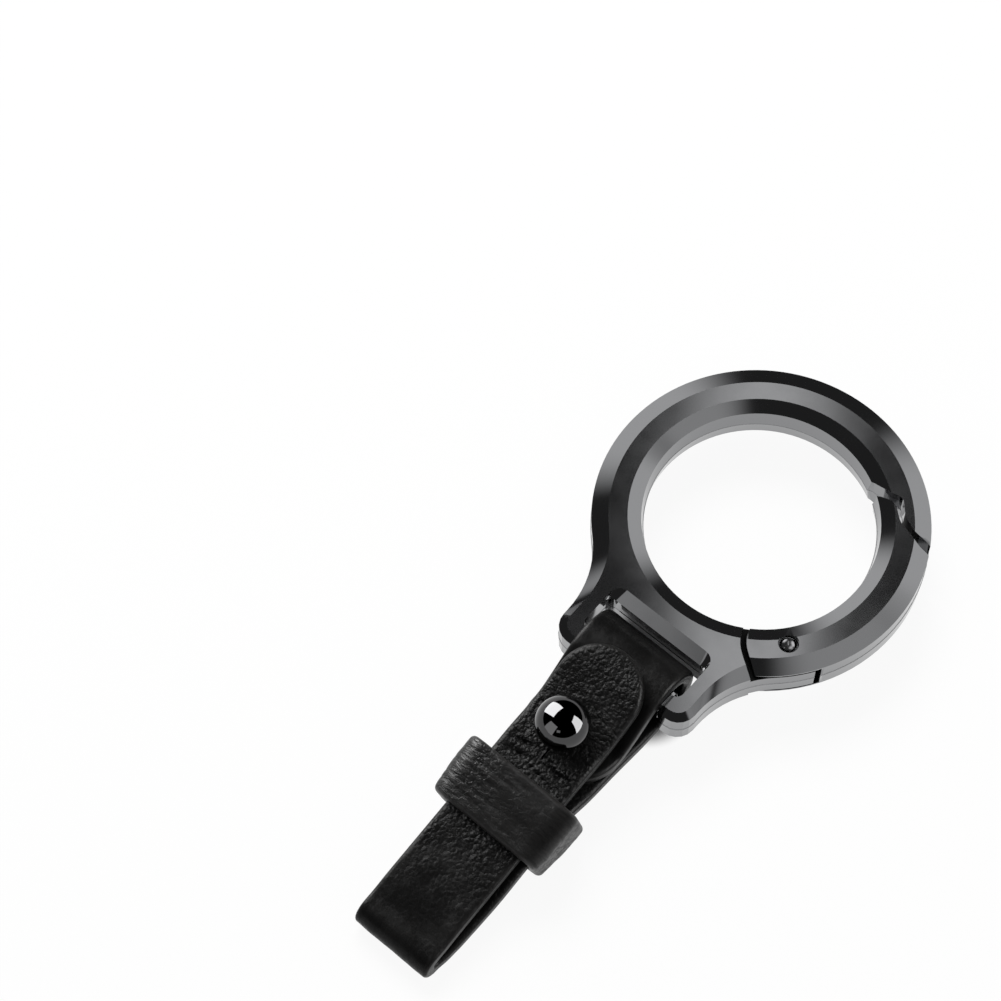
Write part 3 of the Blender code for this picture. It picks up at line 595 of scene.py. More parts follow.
@dataclass(frozen=True)
class StudioFinish:
    """White of the floor, with a faint shadow near the object and a full one under its lug."""

    name: str = "studio_white"
    colour: Triple = (0.86, 0.86, 0.86)
    near_share: float = 0.92
    near: float = 0.05
    far: float = 0.2
    lug_centre: Triple = (0.0, -0.0005, 0.0)
    lug_half: Point = (0.0078, 0.006)
    lug_fade: Point = (0.75, 1.05)

    def material(self) -> Material:
        """Build the material.

        Returns:
            The material.
        """
        material, graph = new_material(self.name, principled=False)
        matt = graph.add("ShaderNodeBsdfDiffuse", {"Color": self.colour})
        white = graph.add("ShaderNodeEmission")
        place = graph.add("ShaderNodeTexCoord").outputs["Object"]
        share = graph.remap(graph.vector("LENGTH", place), self.near, self.far, self.near_share)
        from_lug = graph.scaled(graph.vector("SUBTRACT", place, self.lug_centre),
                                (1 / self.lug_half[0], 1 / self.lug_half[1], 1.0))
        off_lug = graph.remap(graph.vector("LENGTH", from_lug), *self.lug_fade)
        share = graph.math("MULTIPLY", graph.math("MULTIPLY", share, off_lug),
                           graph.background_rays())
        mixer = graph.add("ShaderNodeMixShader", {0: share, 1: matt.outputs[0],
                                                  2: white.outputs[0]})
        graph.fill("Material Output", {"Surface": mixer.outputs[0]})
        return material


# The studio


@dataclass(frozen=True)
class Patch:
    """A soft light patch on the card tent, with its angles in degrees."""

    axis: Triple
    half_angle: float
    edge: float
    strength: float


@dataclass(frozen=True)
class Strip:
    """A narrow soft strip of light on the card tent, with its angles in degrees."""

    axis: Triple
    across: Triple
    half_width: float
    edge: float
    half_length: float
    end: float
    strength: float


@dataclass(frozen=True)
class Card:
    """A bright card like a window, with its corners in metres from the ball's centre.

    lit holds the places of the pieces that mirror it: 0 the ball, 1 the strap, 2 the keeper.
    """

    name: str
    corners: tuple[Triple, Triple, Triple, Triple]
    radiance: float
    lit: tuple[int, ...] = (0,)


def cosine(degrees: float) -> float:
    """Give the cosine of an angle in degrees."""
    return math.cos(math.radians(degrees))


@dataclass
class Studio:
    """White floor, dark card tent that the metal mirrors, bright cards, key lamp and camera."""

    floor_radius: float = 6.0
    floor_level: float = -0.00002
    tent_radius: float = 1.4
    tent_foot: float = 0.028
    tent_base: float = 0.045
    fill: float = 0.45
    aim: Triple = (0.0, 0.0, 0.006)
    key_axis: Triple = (-0.45, 0.35, 0.82)
    key_distance: float = 0.6
    key_power: float = 3.0
    key_size: float = 0.35
    ball_centre: Triple = (0.0, -0.0124154, 0.012721)
    cards: tuple[Card, ...] = (
        Card("card_left", ((-0.269, 0.136, 0.014), (-0.123, 0.155, 0.229),
                           (-0.154, -0.097, 0.242), (-0.299, -0.04, 0.014)), 14.0, (0, 1)),
        Card("card_right", ((0.115, 0.19, 0.206), (0.233, 0.193, 0.014),
                            (0.302, 0.003, 0.014), (0.181, 0.064, 0.234)), 11.0, (0, 1)),
        Card("card_side", ((-0.222, 0.204, 0.025), (-0.18, 0.169, 0.174),
                           (-0.215, -0.067, 0.202), (-0.3, 0.034, 0.016)), 20.0, (2,)),
        Card("card_front", ((-0.147, -0.172, 0.201), (0.034, -0.202, 0.223),
                            (0.01, -0.302, 0.02), (-0.176, -0.245, 0.027)), 2.0),
        Card("card_dot", ((0.052, -0.242, 0.175), (0.116, -0.214, 0.18),
                          (0.128, -0.237, 0.138), (0.069, -0.266, 0.126)), 1.6),
    )
    patches: tuple[Patch, ...] = (
        Patch((-0.755, 0.40, 0.52), 8.0, 14.0, 1.15),
        Patch((0.25, 0.72, 0.65), 12.0, 14.0, 1.1),
        Patch((0.38, 0.17, 0.91), 7.0, 13.0, 0.72),
        Patch((-0.28, -0.45, 0.85), 2.0, 4.0, 0.65),
        Patch((0.82, 0.16, 0.56), 5.0, 10.0, 0.65),
    )
    strip: Strip = Strip((-0.2175, 0.3825, 0.898), (0.826, 0.563, -0.039), 0.9, 1.4, 9.0, 6.0, 1.2)
    camera_place: Triple = (0.0750387, -0.105365, 0.311209)
    camera_right: Triple = (0.75648, 0.65396, -0.00879)
    camera_down: Triple = (0.58464, -0.68220, -0.43909)
    camera_forward: Triple = (-0.29314, 0.32702, -0.89840)
    lens: float = 107.89

    def build(self) -> Object:
        """Build the whole studio except its bright cards.

        Returns:
            The card tent.
        """
        self.add_camera()
        self.add_floor()
        tent = self.add_tent()
        self.add_world()
        self.add_key()
        bpy.context.scene.view_settings.view_transform = "Standard"
        return tent

    def add_camera(self) -> None:
        """Add the camera at the photograph's viewing angle."""
        data = bpy.data.cameras.new("camera")
        data.lens = self.lens
        data.sensor_width = 36.0
        data.clip_start = 0.01
        data.clip_end = 20.0
        camera = add_object("camera", data)
        axes = Matrix((Vector(self.camera_right), -Vector(self.camera_down),
                       -Vector(self.camera_forward))).transposed()
        camera.matrix_world = Matrix.Translation(self.camera_place) @ axes.to_4x4()
        bpy.context.scene.camera = camera

    def add_floor(self) -> None:
        """Add a wide round floor at the object's lowest level."""
        data = bmesh.new()
        bmesh.ops.create_circle(data, cap_ends=True, segments=96, radius=self.floor_radius)
        bmesh.ops.translate(data, verts=data.verts, vec=(0, 0, self.floor_level))
        add_object("floor", mesh_from("floor", data, StudioFinish().material()))

    def add_tent(self) -> Object:
        """Add a tent of dark cards with soft light patches, which only the gloss mirrors.

        Returns:
            The tent.
        """
        data = bmesh.new()
        bmesh.ops.create_uvsphere(data, u_segments=64, v_segments=32, radius=self.tent_radius)
        low = [vert for vert in data.verts if vert.co.z < self.tent_foot]
        bmesh.ops.delete(data, geom=low, context="VERTS")
        return self.for_gloss_only("card_tent", data, self.tent_material())

    def tent_material(self) -> Material:
        """Build the tent's dark cards with their patches.

        Returns:
            The material.
        """
        material, graph = new_material("card_tent", principled=False)
        direction = graph.vector("NORMALIZE", graph.add("ShaderNodeTexCoord").outputs["Object"])
        group = soft_patch_group()
        level: Any = self.tent_base
        for patch in self.patches:
            light = graph.add("ShaderNodeGroup", {
                "Direction": direction, "Axis": Vector(patch.axis).normalized(),
                "Outer": cosine(patch.half_angle + patch.edge),
                "Inner": cosine(patch.half_angle), "Strength": patch.strength,
            }, node_tree=group).outputs["Light"]
            level = graph.math("ADD", light, level)
        level = graph.math("ADD", self.strip_light(graph, direction), level)
        glow = graph.add("ShaderNodeEmission", {"Strength": level})
        graph.fill("Material Output", {"Surface": glow.outputs[0]})
        return material

    def strip_light(self, graph: Graph, direction: NodeSocket) -> NodeSocket:
        """Add the strip light's level to the tent.

        Args:
            graph: the tent's tree.
            direction: the direction that the tent is seen in.

        Returns:
            Its level.
        """
        strip = self.strip
        off = graph.math("ABSOLUTE", graph.vector("DOT_PRODUCT", direction, strip.across))
        near = math.sin(math.radians(strip.half_width))
        far = math.sin(math.radians(strip.half_width + strip.edge))
        ahead = graph.vector("DOT_PRODUCT", direction, Vector(strip.axis).normalized())
        length = graph.remap(ahead, cosine(strip.half_length + strip.end),
                             cosine(strip.half_length))
        return graph.math("MULTIPLY", graph.remap(off, near, far, strip.strength, 0.0), length)

    def add_world(self) -> None:
        """Add the world: white where it is seen, a plain fill elsewhere."""
        world = bpy.data.worlds.new("studio")
        bpy.context.scene.world = world
        world.use_nodes = True
        graph = Graph(world.node_tree)
        level = graph.remap(graph.background_rays(), 0.0, 1.0, self.fill)
        graph.fill("Background", {"Color": (1.0, 1.0, 1.0), "Strength": level})

    def for_gloss_only(self, name: str, data: BMesh, material: Material) -> Object:
        """Stage an object that nothing but the gloss of the pieces sees.

        Args:
            name: its name.
            data: its bmesh.
            material: its material.

        Returns:
            The object.
        """
        obj = add_object(name, mesh_from(name, data, material))
        for ray in ("camera", "diffuse", "transmission", "volume_scatter", "shadow"):
            setattr(obj, f"visible_{ray}", False)
        return obj

    def add_cards(self, tent: Object, *pieces: Object) -> None:
        """Add the bright cards, which light only the gloss of some pieces.

        Args:
            tent: the card tent, which leaves out the ball.
            pieces: the pieces that mirror the cards, the ball first.
        """
        for card in self.cards:
            lit = bpy.data.collections.new(f"{card.name}_lights")
            for place in card.lit:
                lit.objects.link(pieces[place])
            self.add_card(card).light_linking.receiver_collection = lit
        unlit = bpy.data.collections.new("tent_leaves_out")
        unlit.objects.link(pieces[0])
        unlit.collection_objects[0].light_linking.link_state = "EXCLUDE"
        tent.light_linking.receiver_collection = unlit

    def add_card(self, card: Card) -> Object:
        """Add one bright card, which faces the ball and lets other pieces see through it.

        Args:
            card: where it stands and how bright it looks.

        Returns:
            The card.
        """
        data = bmesh.new()
        centre = Vector(self.ball_centre)
        face = data.faces.new([data.verts.new(centre + Vector(corner)) for corner in card.corners])
        face.normal_update()
        if face.normal.dot(centre - face.calc_center_median()) < 0:
            face.normal_flip()
        material, graph = new_material(card.name, principled=False)
        glow = graph.add("ShaderNodeEmission", {"Strength": card.radiance})
        clear = graph.add("ShaderNodeBsdfTransparent")
        both = graph.add("ShaderNodeAddShader", {0: glow.outputs[0], 1: clear.outputs[0]})
        graph.fill("Material Output", {"Surface": both.outputs[0]})
        return self.for_gloss_only(card.name, data, material)

    def add_key(self) -> None:
        """Add the soft key lamp, which lights the floor and leaves no mirror image."""
        direction = Vector(self.key_axis).normalized()
        data = bpy.data.lights.new("key", "AREA")
        data.shape = "DISK"
        data.size = self.key_size
        data.energy = self.key_power
        lamp = add_object("key", data)
        lamp.location = Vector(self.aim) + direction * self.key_distance
        lamp.rotation_mode = "QUATERNION"
        lamp.rotation_quaternion = direction.to_track_quat("Z", "Y")
        lamp.visible_camera = False
        lamp.visible_glossy = False


# Metalwork


@dataclass
class CastPiece:
    """A packed metal piece, taken over with its edges softly rounded."""

    node: str
    body: Body
    slot: Slot
    edge_radius: float = 0.00011
    edge_steps: int = 2
    corner_angle: float = math.radians(14.0)
    flat_angle: float = math.radians(0.4)
    ridge_height: float = 0.0
    ridge_half_width: float = 0.00009
    least_wall_normal: float = 0.7
    facing: str = ""
    joint_gap: float = 0.0008

    def build(self, *finishes: Material) -> Object:
        """Build the piece.

        Args:
            finishes: its finish, then those of its rounded edges and of its joint walls, where
                they differ. The rounded edges' finish is lighter, a painted highlight, and the
                joint walls' finish is dark, a painted shade.

        Returns:
            The finished piece.
        """
        data = bmesh_of(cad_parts[self.node].data, MERGE)
        bmesh.ops.dissolve_limit(data, angle_limit=self.flat_angle, use_dissolve_boundaries=False,
                                 verts=data.verts, edges=data.edges, delimit=set())
        name = f"{self.node}_fine"
        piece = add_object(name, mesh_from(name, data, *finishes))
        # The walls across the joint get the dark third finish: painted shade in the gap between
        # the castings.
        if self.facing:
            self.paint_joint_shade(piece.data)
        bevel = piece.modifiers.new("Rounded edges", "BEVEL")
        bevel.width = self.edge_radius
        bevel.segments = self.edge_steps
        bevel.limit_method = "ANGLE"
        bevel.angle_limit = self.corner_angle
        bevel.use_clamp_overlap = True
        bevel.miter_outer = "MITER_ARC"
        # The rounded edges take the second finish, a lighter colour: a painted highlight along the
        # edges.
        bevel.material = 1 if len(finishes) > 1 else 0
        if self.ridge_height:
            piece.data = self.with_parting_ridge(baked(piece).data)
        even = piece.modifiers.new("Even shading", "WEIGHTED_NORMAL")
        even.keep_sharp = True
        return publish(baked(piece), self.body, self.slot, self.node)

    def paint_joint_shade(self, mesh: Mesh) -> None:
        """Give the third material, a dark painted shade for the narrow gap, to the walls that
        face the other casting across a joint.

        Args:
            mesh: the piece's mesh.
        """
        other = bmesh_of(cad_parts[self.facing].data)
        tree = BVHTree.FromBMesh(other)
        other.free()
        for face in mesh.polygons:
            start = face.center + face.normal * MERGE
            if tree.ray_cast(start, face.normal, self.joint_gap)[0] is not None:
                face.material_index = 2

    def with_parting_ridge(self, mesh: Mesh) -> Mesh:
        """Raise the fine ridge that the two halves of the mould leave round every wall.

        Args:
            mesh: the piece's mesh.

        Returns:
            A mesh with the ridge.
        """
        data = bmesh_of(mesh)
        middle = BAR_AXIS.z
        for offset in (-self.ridge_half_width, 0.0, self.ridge_half_width):
            bmesh.ops.bisect_plane(data, geom=data.verts[:] + data.edges[:] + data.faces[:],
                                   dist=MERGE / 10, plane_co=(0, 0, middle + offset),
                                   plane_no=(0, 0, 1))
        data.normal_update()
        for vert in data.verts:
            out = Vector((vert.normal.x, vert.normal.y, 0))
            if abs(vert.co.z - middle) < MERGE and out.length > self.least_wall_normal:
                vert.co += out.normalized() * self.ridge_height
        return mesh_from(mesh.name, data, *mesh.materials)


@dataclass
class BallStud:
    """Turned stud: mirror ball, neck, flange on the tab, and a post with the screw's bore."""

    distance: float = 0.0107004
    ball_radius: float = 0.00305
    ball_height: float = 0.0061307
    neck_radius: float = 0.0012
    fillet: float = 0.0003
    flange_radius: float = 0.0021
    flange_bottom: float = 0.0005769
    flange_thickness: float = 0.0004
    post_radius: float = 0.0015
    post_end: float = -0.0031898
    bore_radius: float = 0.00095
    bore_depth: float = 0.0026
    edge: float = 0.00008
    steps: int = 96
    rise_steps: int = 56
    fillet_steps: int = 5
    sharp_angle: float = math.radians(40)

    def profile(self) -> list[Point]:
        """Trace the stud's half outline from the top of the ball to the end of the bore.

        Returns:
            (radius, height) points, with heights from the bar's middle.
        """
        last = math.pi - math.asin(self.neck_radius / self.ball_radius)
        bottom, edge, end = self.flange_bottom, self.edge, self.post_end
        top = bottom + self.flange_thickness
        ball = [(x, self.ball_height + y)
                for x, y in arc(self.ball_radius, QUARTER_TURN, QUARTER_TURN - last,
                                self.rise_steps)]
        fillet = [(self.neck_radius + self.fillet - x, top + self.fillet - y)
                  for x, y in arc(self.fillet, 0.0, QUARTER_TURN, self.fillet_steps)]
        rim = [(self.flange_radius - edge, top), (self.flange_radius, top - edge),
               (self.flange_radius, bottom + edge), (self.flange_radius - edge, bottom)]
        post = [(self.post_radius, bottom), (self.post_radius, end + edge),
                (self.post_radius - edge, end), (self.bore_radius + edge, end),
                (self.bore_radius, end + edge), (self.bore_radius, end + self.bore_depth),
                (0.0, end + self.bore_depth)]
        return ball + fillet + rim + post

    def build(self, material: Material) -> Object:
        """Turn the stud's outline round its axis.

        Args:
            material: its finish.

        Returns:
            The finished piece.
        """
        data = bmesh.new()
        origin = BAR_AXIS + Vector((0, -self.distance, 0))
        turn = arc(1.0, 0.0, math.tau, self.steps)[:-1]
        rings = [[data.verts.new(origin + Vector((radius * x, radius * y, height)))
                  for x, y in (turn if radius > MERGE else [(0.0, 0.0)])]
                 for radius, height in self.profile()]
        for first, second in zip(rings, rings[1:]):
            bridge(data, *(ring * (self.steps // len(ring)) for ring in (first, second)))
        bmesh.ops.recalc_face_normals(data, faces=data.faces)
        mesh = mesh_from("stud_ball_fine", data, material, sharp_angle=self.sharp_angle)
        return publish(add_object("stud_ball_fine", mesh), Body.STRAP, Slot.BLACK_CHROME,
                       "stud_ball")


@dataclass
class GateSpring:
    """Compression coil in the gate's web, made as one wire along a helix."""

    coil_radius: float = 0.0006
    wire_radius: float = 0.00015
    pitch: float = 0.00076
    turns: int = 7
    start: float = 0.0031
    inset: float = 0.00095
    pin_angle: float = math.radians(-40.3)
    points_a_turn: int = 32
    wire_sides: int = 12
    sharp_angle: float = math.radians(50)

    def tree(self) -> tuple[NodeTree, dict[str, str]]:
        """Build the coil's node tree.

        Returns:
            The tree, and the identifier of each of its inputs by name.
        """
        graph = Graph(bpy.data.node_groups.new("Coil spring", "GeometryNodeTree"))
        sockets = {}
        for name, kind in {"Coil radius": "Float", "Wire radius": "Float", "Length": "Float",
                           "Turns": "Float", "Points": "Int", "Sides": "Int",
                           "Finish": "Material"}.items():
            socket = graph.tree.interface.new_socket(name, in_out="INPUT",
                                                     socket_type=f"NodeSocket{kind}")
            sockets[name] = socket.identifier
        graph.tree.interface.new_socket("Geometry", in_out="OUTPUT",
                                        socket_type="NodeSocketGeometry")
        entry = graph.add("NodeGroupInput").outputs
        helix = graph.add("GeometryNodeCurveSpiral", {
            "Resolution": entry["Points"], "Rotations": entry["Turns"],
            "Start Radius": entry["Coil radius"], "End Radius": entry["Coil radius"],
            "Height": entry["Length"]}).outputs["Curve"]
        wire = graph.add("GeometryNodeCurvePrimitiveCircle", {
            "Resolution": entry["Sides"], "Radius": entry["Wire radius"]}).outputs["Curve"]
        sweep = graph.add("GeometryNodeCurveToMesh", {
            "Curve": helix, "Profile Curve": wire, "Fill Caps": True}).outputs["Mesh"]
        whole = graph.add("GeometryNodeRealizeInstances", {"Geometry": sweep}).outputs[0]
        finish = graph.add("GeometryNodeSetMaterial", {
            "Geometry": whole, "Material": entry["Finish"]}).outputs[0]
        graph.add("NodeGroupOutput", {"Geometry": finish})
        return graph.tree, sockets

    def place(self) -> Matrix:
        """Give the matrix from the helix's own frame to the spring's seat in the gate.

        Returns:
            The matrix.
        """
        along = Vector((-math.sin(self.pin_angle), math.cos(self.pin_angle), 0))
        inward = Vector((-math.cos(self.pin_angle), -math.sin(self.pin_angle), 0))
        axes = Matrix((inward, Vector((0, 0, 1)), along)).transposed().to_4x4()
        return Matrix.Translation(PIN_AXIS + self.start * along + self.inset * inward) @ axes

    def build(self, material: Material) -> Object:
        """Build the spring.

        Args:
            material: its finish.

        Returns:
            The finished piece.
        """
        tree, sockets = self.tree()
        piece = add_object("gate_spring_fine", bpy.data.meshes.new("gate_spring_fine"))
        coil = piece.modifiers.new("Coil", "NODES")
        coil.node_group = tree
        for name, value in {"Coil radius": self.coil_radius, "Wire radius": self.wire_radius,
                            "Length": self.turns * self.pitch, "Turns": float(self.turns),
                            "Points": self.points_a_turn, "Sides": self.wire_sides,
                            "Finish": material}.items():
            coil[sockets[name]] = value
        baked(piece)
        piece.data.transform(self.place())
        data = bmesh_of(piece.data, MERGE)
        bmesh.ops.recalc_face_normals(data, faces=data.faces)
        piece.data = mesh_from(piece.name, data, material, sharp_angle=self.sharp_angle)
        return publish(piece, Body.GATE, Slot.SPRING_STEEL, "gate_spring")


# Leatherwork

# Tables along the strap, by the share of its reach. Heights count in radii of its wrap.
BACK_SHARES = ((0.0, -1.0), (0.054, -0.99), (0.1027, -0.952), (0.154, -0.85), (0.199, -0.749),
               (0.243, -0.672), (0.285, -0.634), (0.347, -0.609), (0.388, -0.551),
               (0.415, -0.5), (0.432, -0.477), (0.455, -0.4545), (0.4824, -0.4745),
               (0.5095, -0.5225), (0.55, -0.6062), (0.658, -0.8292), (0.766, -1.0523),
               (0.9014, -1.332), (0.935, -1.3956), (0.97, -1.441), (1.0, -1.4565))
# The front layer: share, layers of leather under it, and air under it in inner radii.
FRONT_SHARES = ((0.0, 2, 2.064), (0.054, 2, 1.925), (0.1027, 2, 1.66), (0.154, 2, 1.229),
                (0.199, 2, 0.848), (0.243, 2, 0.566), (0.285, 2, 0.404), (0.347, 2, 0.301),
                (0.388, 2, 0.152), (0.415, 1, 0.56), (0.432, 1, 0.485), (0.455, 1, 0.4045),
                (0.4824, 1, 0.3695), (0.5095, 1, 0.3652), (0.55, 1, 0.3738), (0.658, 1, 0.3965),
                (0.766, 1, 0.4191), (0.9014, 1, 0.4474), (0.935, 1, 0.4206), (0.97, 1, 0.3656),
                (1.0, 1, 0.3365))
# The tab, then the places where it lies flat on the back layer.
TAB_SHARES = ((0.0349, 0.944), (0.0626, 0.807), (0.1, 0.533), (0.1354, 0.266), (0.1651, 0.063),
              (0.1928, -0.096), (0.2185, -0.168))
TAB_FLAT_SHARES = (0.243, 0.285, 0.323, 0.364, 0.393)
# How far the back layer keeps the bar's width, and how strong the grain is along the strip.
BACK_WIDTH_SHARES = ((0.0, 1.0), (0.3, 1.0), (0.5, 0.65), (0.8, 0.65), (1.0, 0.1))
GRAIN_SHARES = ((0.0, 1.0), (0.45, 1.0), (0.62, 0.85), (0.78, 0.5), (0.93, 0.15),
                (1.1, 0.15), (1.3, 0.4), (1.9, 0.4), (2.1, 0.15), (3.2, 0.15))


def write_maps(face: Any, layers: Sequence[Any], corners: Sequence[Sequence[Point]]) -> None:
    """Write the leather maps at the corners of a face.

    Args:
        face: the face.
        layers: the layers of the three maps.
        corners: for each corner, its place on the strip, its masks and its grain.
    """
    for loop, values in zip(face.loops, corners):
        for layer, value in zip(layers, values):
            loop[layer].uv = value


@dataclass(frozen=True)
class Crease:
    """A pressed crease across a strip: where it is and how deep.

    at and slant place it along the strip, in metres and in metres for each metre across.
    low and high say which part of the width it crosses, from -1 to 1. fade is the share of the
    half width in which it ends, and wander how far it strays from a straight line.
    """

    at: float
    slant: float
    low: float
    high: float
    depth: float
    width: float
    fade: float = 0.25
    wander: float = 0.00035

    def relief(self, along: float, across: float, half_width: float) -> float:
        """Give the depth of the crease at a place on the strip.

        Args:
            along: distance along the strip.
            across: distance from its middle line.
            half_width: half its width there.

        Returns:
            How far the surface is pushed in.
        """
        wander = self.wander * noise.noise(Vector((across * 600, self.at * 900, 3.1)))
        off = (along - self.at - self.slant * across - wander) / self.width
        if abs(off) > 3:
            return 0.0
        return self.depth * math.exp(-off * off) * window(across / half_width, self.low,
                                                          self.high, self.fade)


@dataclass
class LeatherStrap:
    """One strip of leather: tongue, belt loop, back layer, wrap round the bar, and tab."""

    reach: float = 0.037
    thickness: float = 0.0017
    rim_radius: float = 0.00042
    rim_shade: float = 1.6
    bar_half_width: float = 0.00595
    loop_half_width: float = 0.0051
    wrap_inner_radius: float = 0.0030913
    layer_gap: float = 0.00028
    wrap_steps: int = 8
    fold_steps: int = 6
    route_steps: int = 16
    row_step: float = 0.00021
    rim_steps: int = 6
    flat_steps: int = 36
    tip_steps: int = 30
    first_tip_step: float = 0.35
    hole_place: float = 0.0107004
    hole_steps: int = 48
    tongue_hole_radius: float = 0.0017
    post_hole_radius: float = 0.0018
    slit_length: float = 0.0018
    slit_width: float = 0.0002
    layer_split: float = 0.0008096
    cut_top: float = 0.008
    cut_bottom: float = -0.006
    waviness: float = 0.00007
    waves_per_metre: float = 330
    flesh_side_shift: float = 0.03
    sharp_angle: float = math.radians(48)
    length: float = field(default=0.0, init=False)
    creases: tuple[Crease, ...] = (
        Crease(0.0147, 0.10, -1.0, 0.7, 0.00016, 0.00022),
        Crease(0.0154, -0.16, -0.9, 0.9, 0.00020, 0.00024),
        Crease(0.0162, 0.22, -0.7, 0.8, 0.00016, 0.00020),
        Crease(0.0139, -0.25, -1.0, 0.1, 0.00014, 0.00020),
        Crease(0.0128, 0.3, -1.0, -0.3, 0.00012, 0.00020),
        Crease(0.0068, 0.14, -0.95, 0.5, 0.00006, 0.00022),
        Crease(0.0079, -0.2, -0.2, 0.95, 0.00006, 0.00020),
    )

    @property
    def wrap_radius(self) -> float:
        """Radius of the strip's middle where it goes round the bar."""
        return self.wrap_inner_radius + self.thickness / 2

    def back_height(self, share: float) -> float:
        """Height of the back layer's middle at a share of the reach."""
        return read_table(BACK_SHARES, share) * self.wrap_radius

    def front_height(self, share: float, layers: int, air: float) -> float:
        """Height of the front layer's middle, over leather layers and air."""
        return self.back_height(share) + layers * self.thickness + air * self.wrap_inner_radius

    def back_half_width(self, share: float) -> float:
        """Half width of the back layer, which narrows from the bar to the loop."""
        extra = read_table(BACK_WIDTH_SHARES, share)
        return self.loop_half_width + extra * (self.bar_half_width - self.loop_half_width)

    def route(self) -> list[Vector]:
        """Trace the strip's middle from the tongue's tip to the tab's end.

        Returns:
            (distance from the bar, height over it, half width) points.
        """
        points = [(share * self.reach, self.front_height(share, layers, air),
                   self.loop_half_width) for share, layers, air in FRONT_SHARES[:-1]]
        low = self.back_height(1.0)
        fold = (self.front_height(*FRONT_SHARES[-1]) - low) / 2
        points += [(self.reach + x, low + fold + y, self.loop_half_width)
                   for x, y in arc(fold, QUARTER_TURN, -QUARTER_TURN, self.fold_steps)]
        points += [(share * self.reach, self.back_height(share), self.back_half_width(share))
                   for share, _ in reversed(BACK_SHARES[1:-1])]
        points += [(x, y, self.bar_half_width) for x, y in
                   arc(self.wrap_radius, -QUARTER_TURN, -QUARTER_TURN - math.pi, self.wrap_steps)]
        points += [(share * self.reach, height * self.wrap_radius, self.bar_half_width)
                   for share, height in TAB_SHARES]
        points += [(share * self.reach, self.back_height(share) + self.thickness + self.layer_gap,
                    self.bar_half_width) for share in TAB_FLAT_SHARES]
        return smooth_path([Vector(point) for point in points], self.route_steps)

    def rows(self) -> list[tuple[float, Vector, Vector, float]]:
        """Space rows evenly along the strip and closer at its round ends.

        Returns:
            (length from the tip, place, outward normal, half width) of each row.
        """
        curve = self.route()
        lengths = [0.0]
        for first, second in zip(curve, curve[1:]):
            lengths.append(lengths[-1] + math.hypot(second.x - first.x, second.y - first.y))
        self.length = lengths[-1]
        tip, end = self.loop_half_width, self.bar_half_width
        first_step = self.first_tip_step
        angles = [QUARTER_TURN * (step + first_step) / (self.tip_steps + first_step)
                  for step in range(self.tip_steps)]
        middle = self.length - tip - end
        count = round(middle / self.row_step)
        places = [(tip * (1 - math.cos(a)), tip * math.sin(a)) for a in angles]
        places += [(tip + middle * i / count, 0.0) for i in range(count + 1)]
        places += [(self.length - end * (1 - math.cos(a)), end * math.sin(a))
                   for a in reversed(angles)]
        rows = []
        cursor = 0
        for length, width in places:
            while cursor < len(lengths) - 2 and lengths[cursor + 1] < length:
                cursor += 1
            part = (length - lengths[cursor]) / max(lengths[cursor + 1] - lengths[cursor], 1e-9)
            here = curve[cursor].lerp(curve[cursor + 1], part)
            ahead = curve[min(cursor + 2, len(curve) - 1)] - curve[max(cursor - 1, 0)]
            tangent = Vector((0, -ahead.x, ahead.y)).normalized()
            normal = Vector((0, tangent.z, -tangent.y))
            rows.append((length, Vector((0, -here.x, here.y)), normal, width or here.z))
        return rows

    def columns(self, half_width: float) -> list[float]:
        """Space the places across a row, closer at its rims.

        Args:
            half_width: half the row's width.

        Returns:
            Distances from the middle line, from left to right.
        """
        rim = min(self.rim_radius, half_width * 0.5)
        inner = half_width - rim
        left = [-half_width + rim * (1 - math.cos(QUARTER_TURN * i / self.rim_steps))
                for i in range(self.rim_steps)]
        middle = [-inner + 2 * inner * i / self.flat_steps for i in range(self.flat_steps + 1)]
        return left + middle + [-place for place in reversed(left)]

    def inset(self, length: float, across: float, half_width: float) -> float:
        """Measure how far a place is from the strip's outline.

        Args:
            length: length along the strip.
            across: distance from the middle line.
            half_width: half the strip's width there.

        Returns:
            The distance to the outline, 0 on it.
        """
        tip, end = self.loop_half_width, self.bar_half_width
        if length < tip:
            return max(0.0, tip - math.hypot(across, tip - length))
        if length > self.length - end:
            return max(0.0, end - math.hypot(across, length - (self.length - end)))
        return half_width - abs(across)

    def relief(self, length: float, across: float, half_width: float, inset: float,
               side: int) -> Point:
        """Give the height of the leather's face over its middle at a place.

        Args:
            length: length along the strip.
            across: distance from the middle line.
            half_width: half the strip's width there.
            inset: distance to the outline.
            side: 1 on the grain side, -1 on the flesh side.

        Returns:
            The height, and how strong a crease is there, from 0 to 1.
        """
        radius = self.rim_radius
        base = self.thickness / 2
        if inset < radius:
            base += math.sqrt(max(0.0, radius**2 - (radius - inset) ** 2)) - radius
        calm = min(1.0, inset / radius)
        spot = Vector((across * self.waves_per_metre, length * self.waves_per_metre, 7.0 * side))
        wave = noise.noise(spot) + 0.5 * noise.noise(spot * 2.3)
        pressed = 0.0
        if side > 0:
            pressed = sum(crease.relief(length, across, half_width) for crease in self.creases)
        height = base + calm * (self.waviness * wave - pressed)
        return height, min(1.0, pressed / FULL_CREASE)

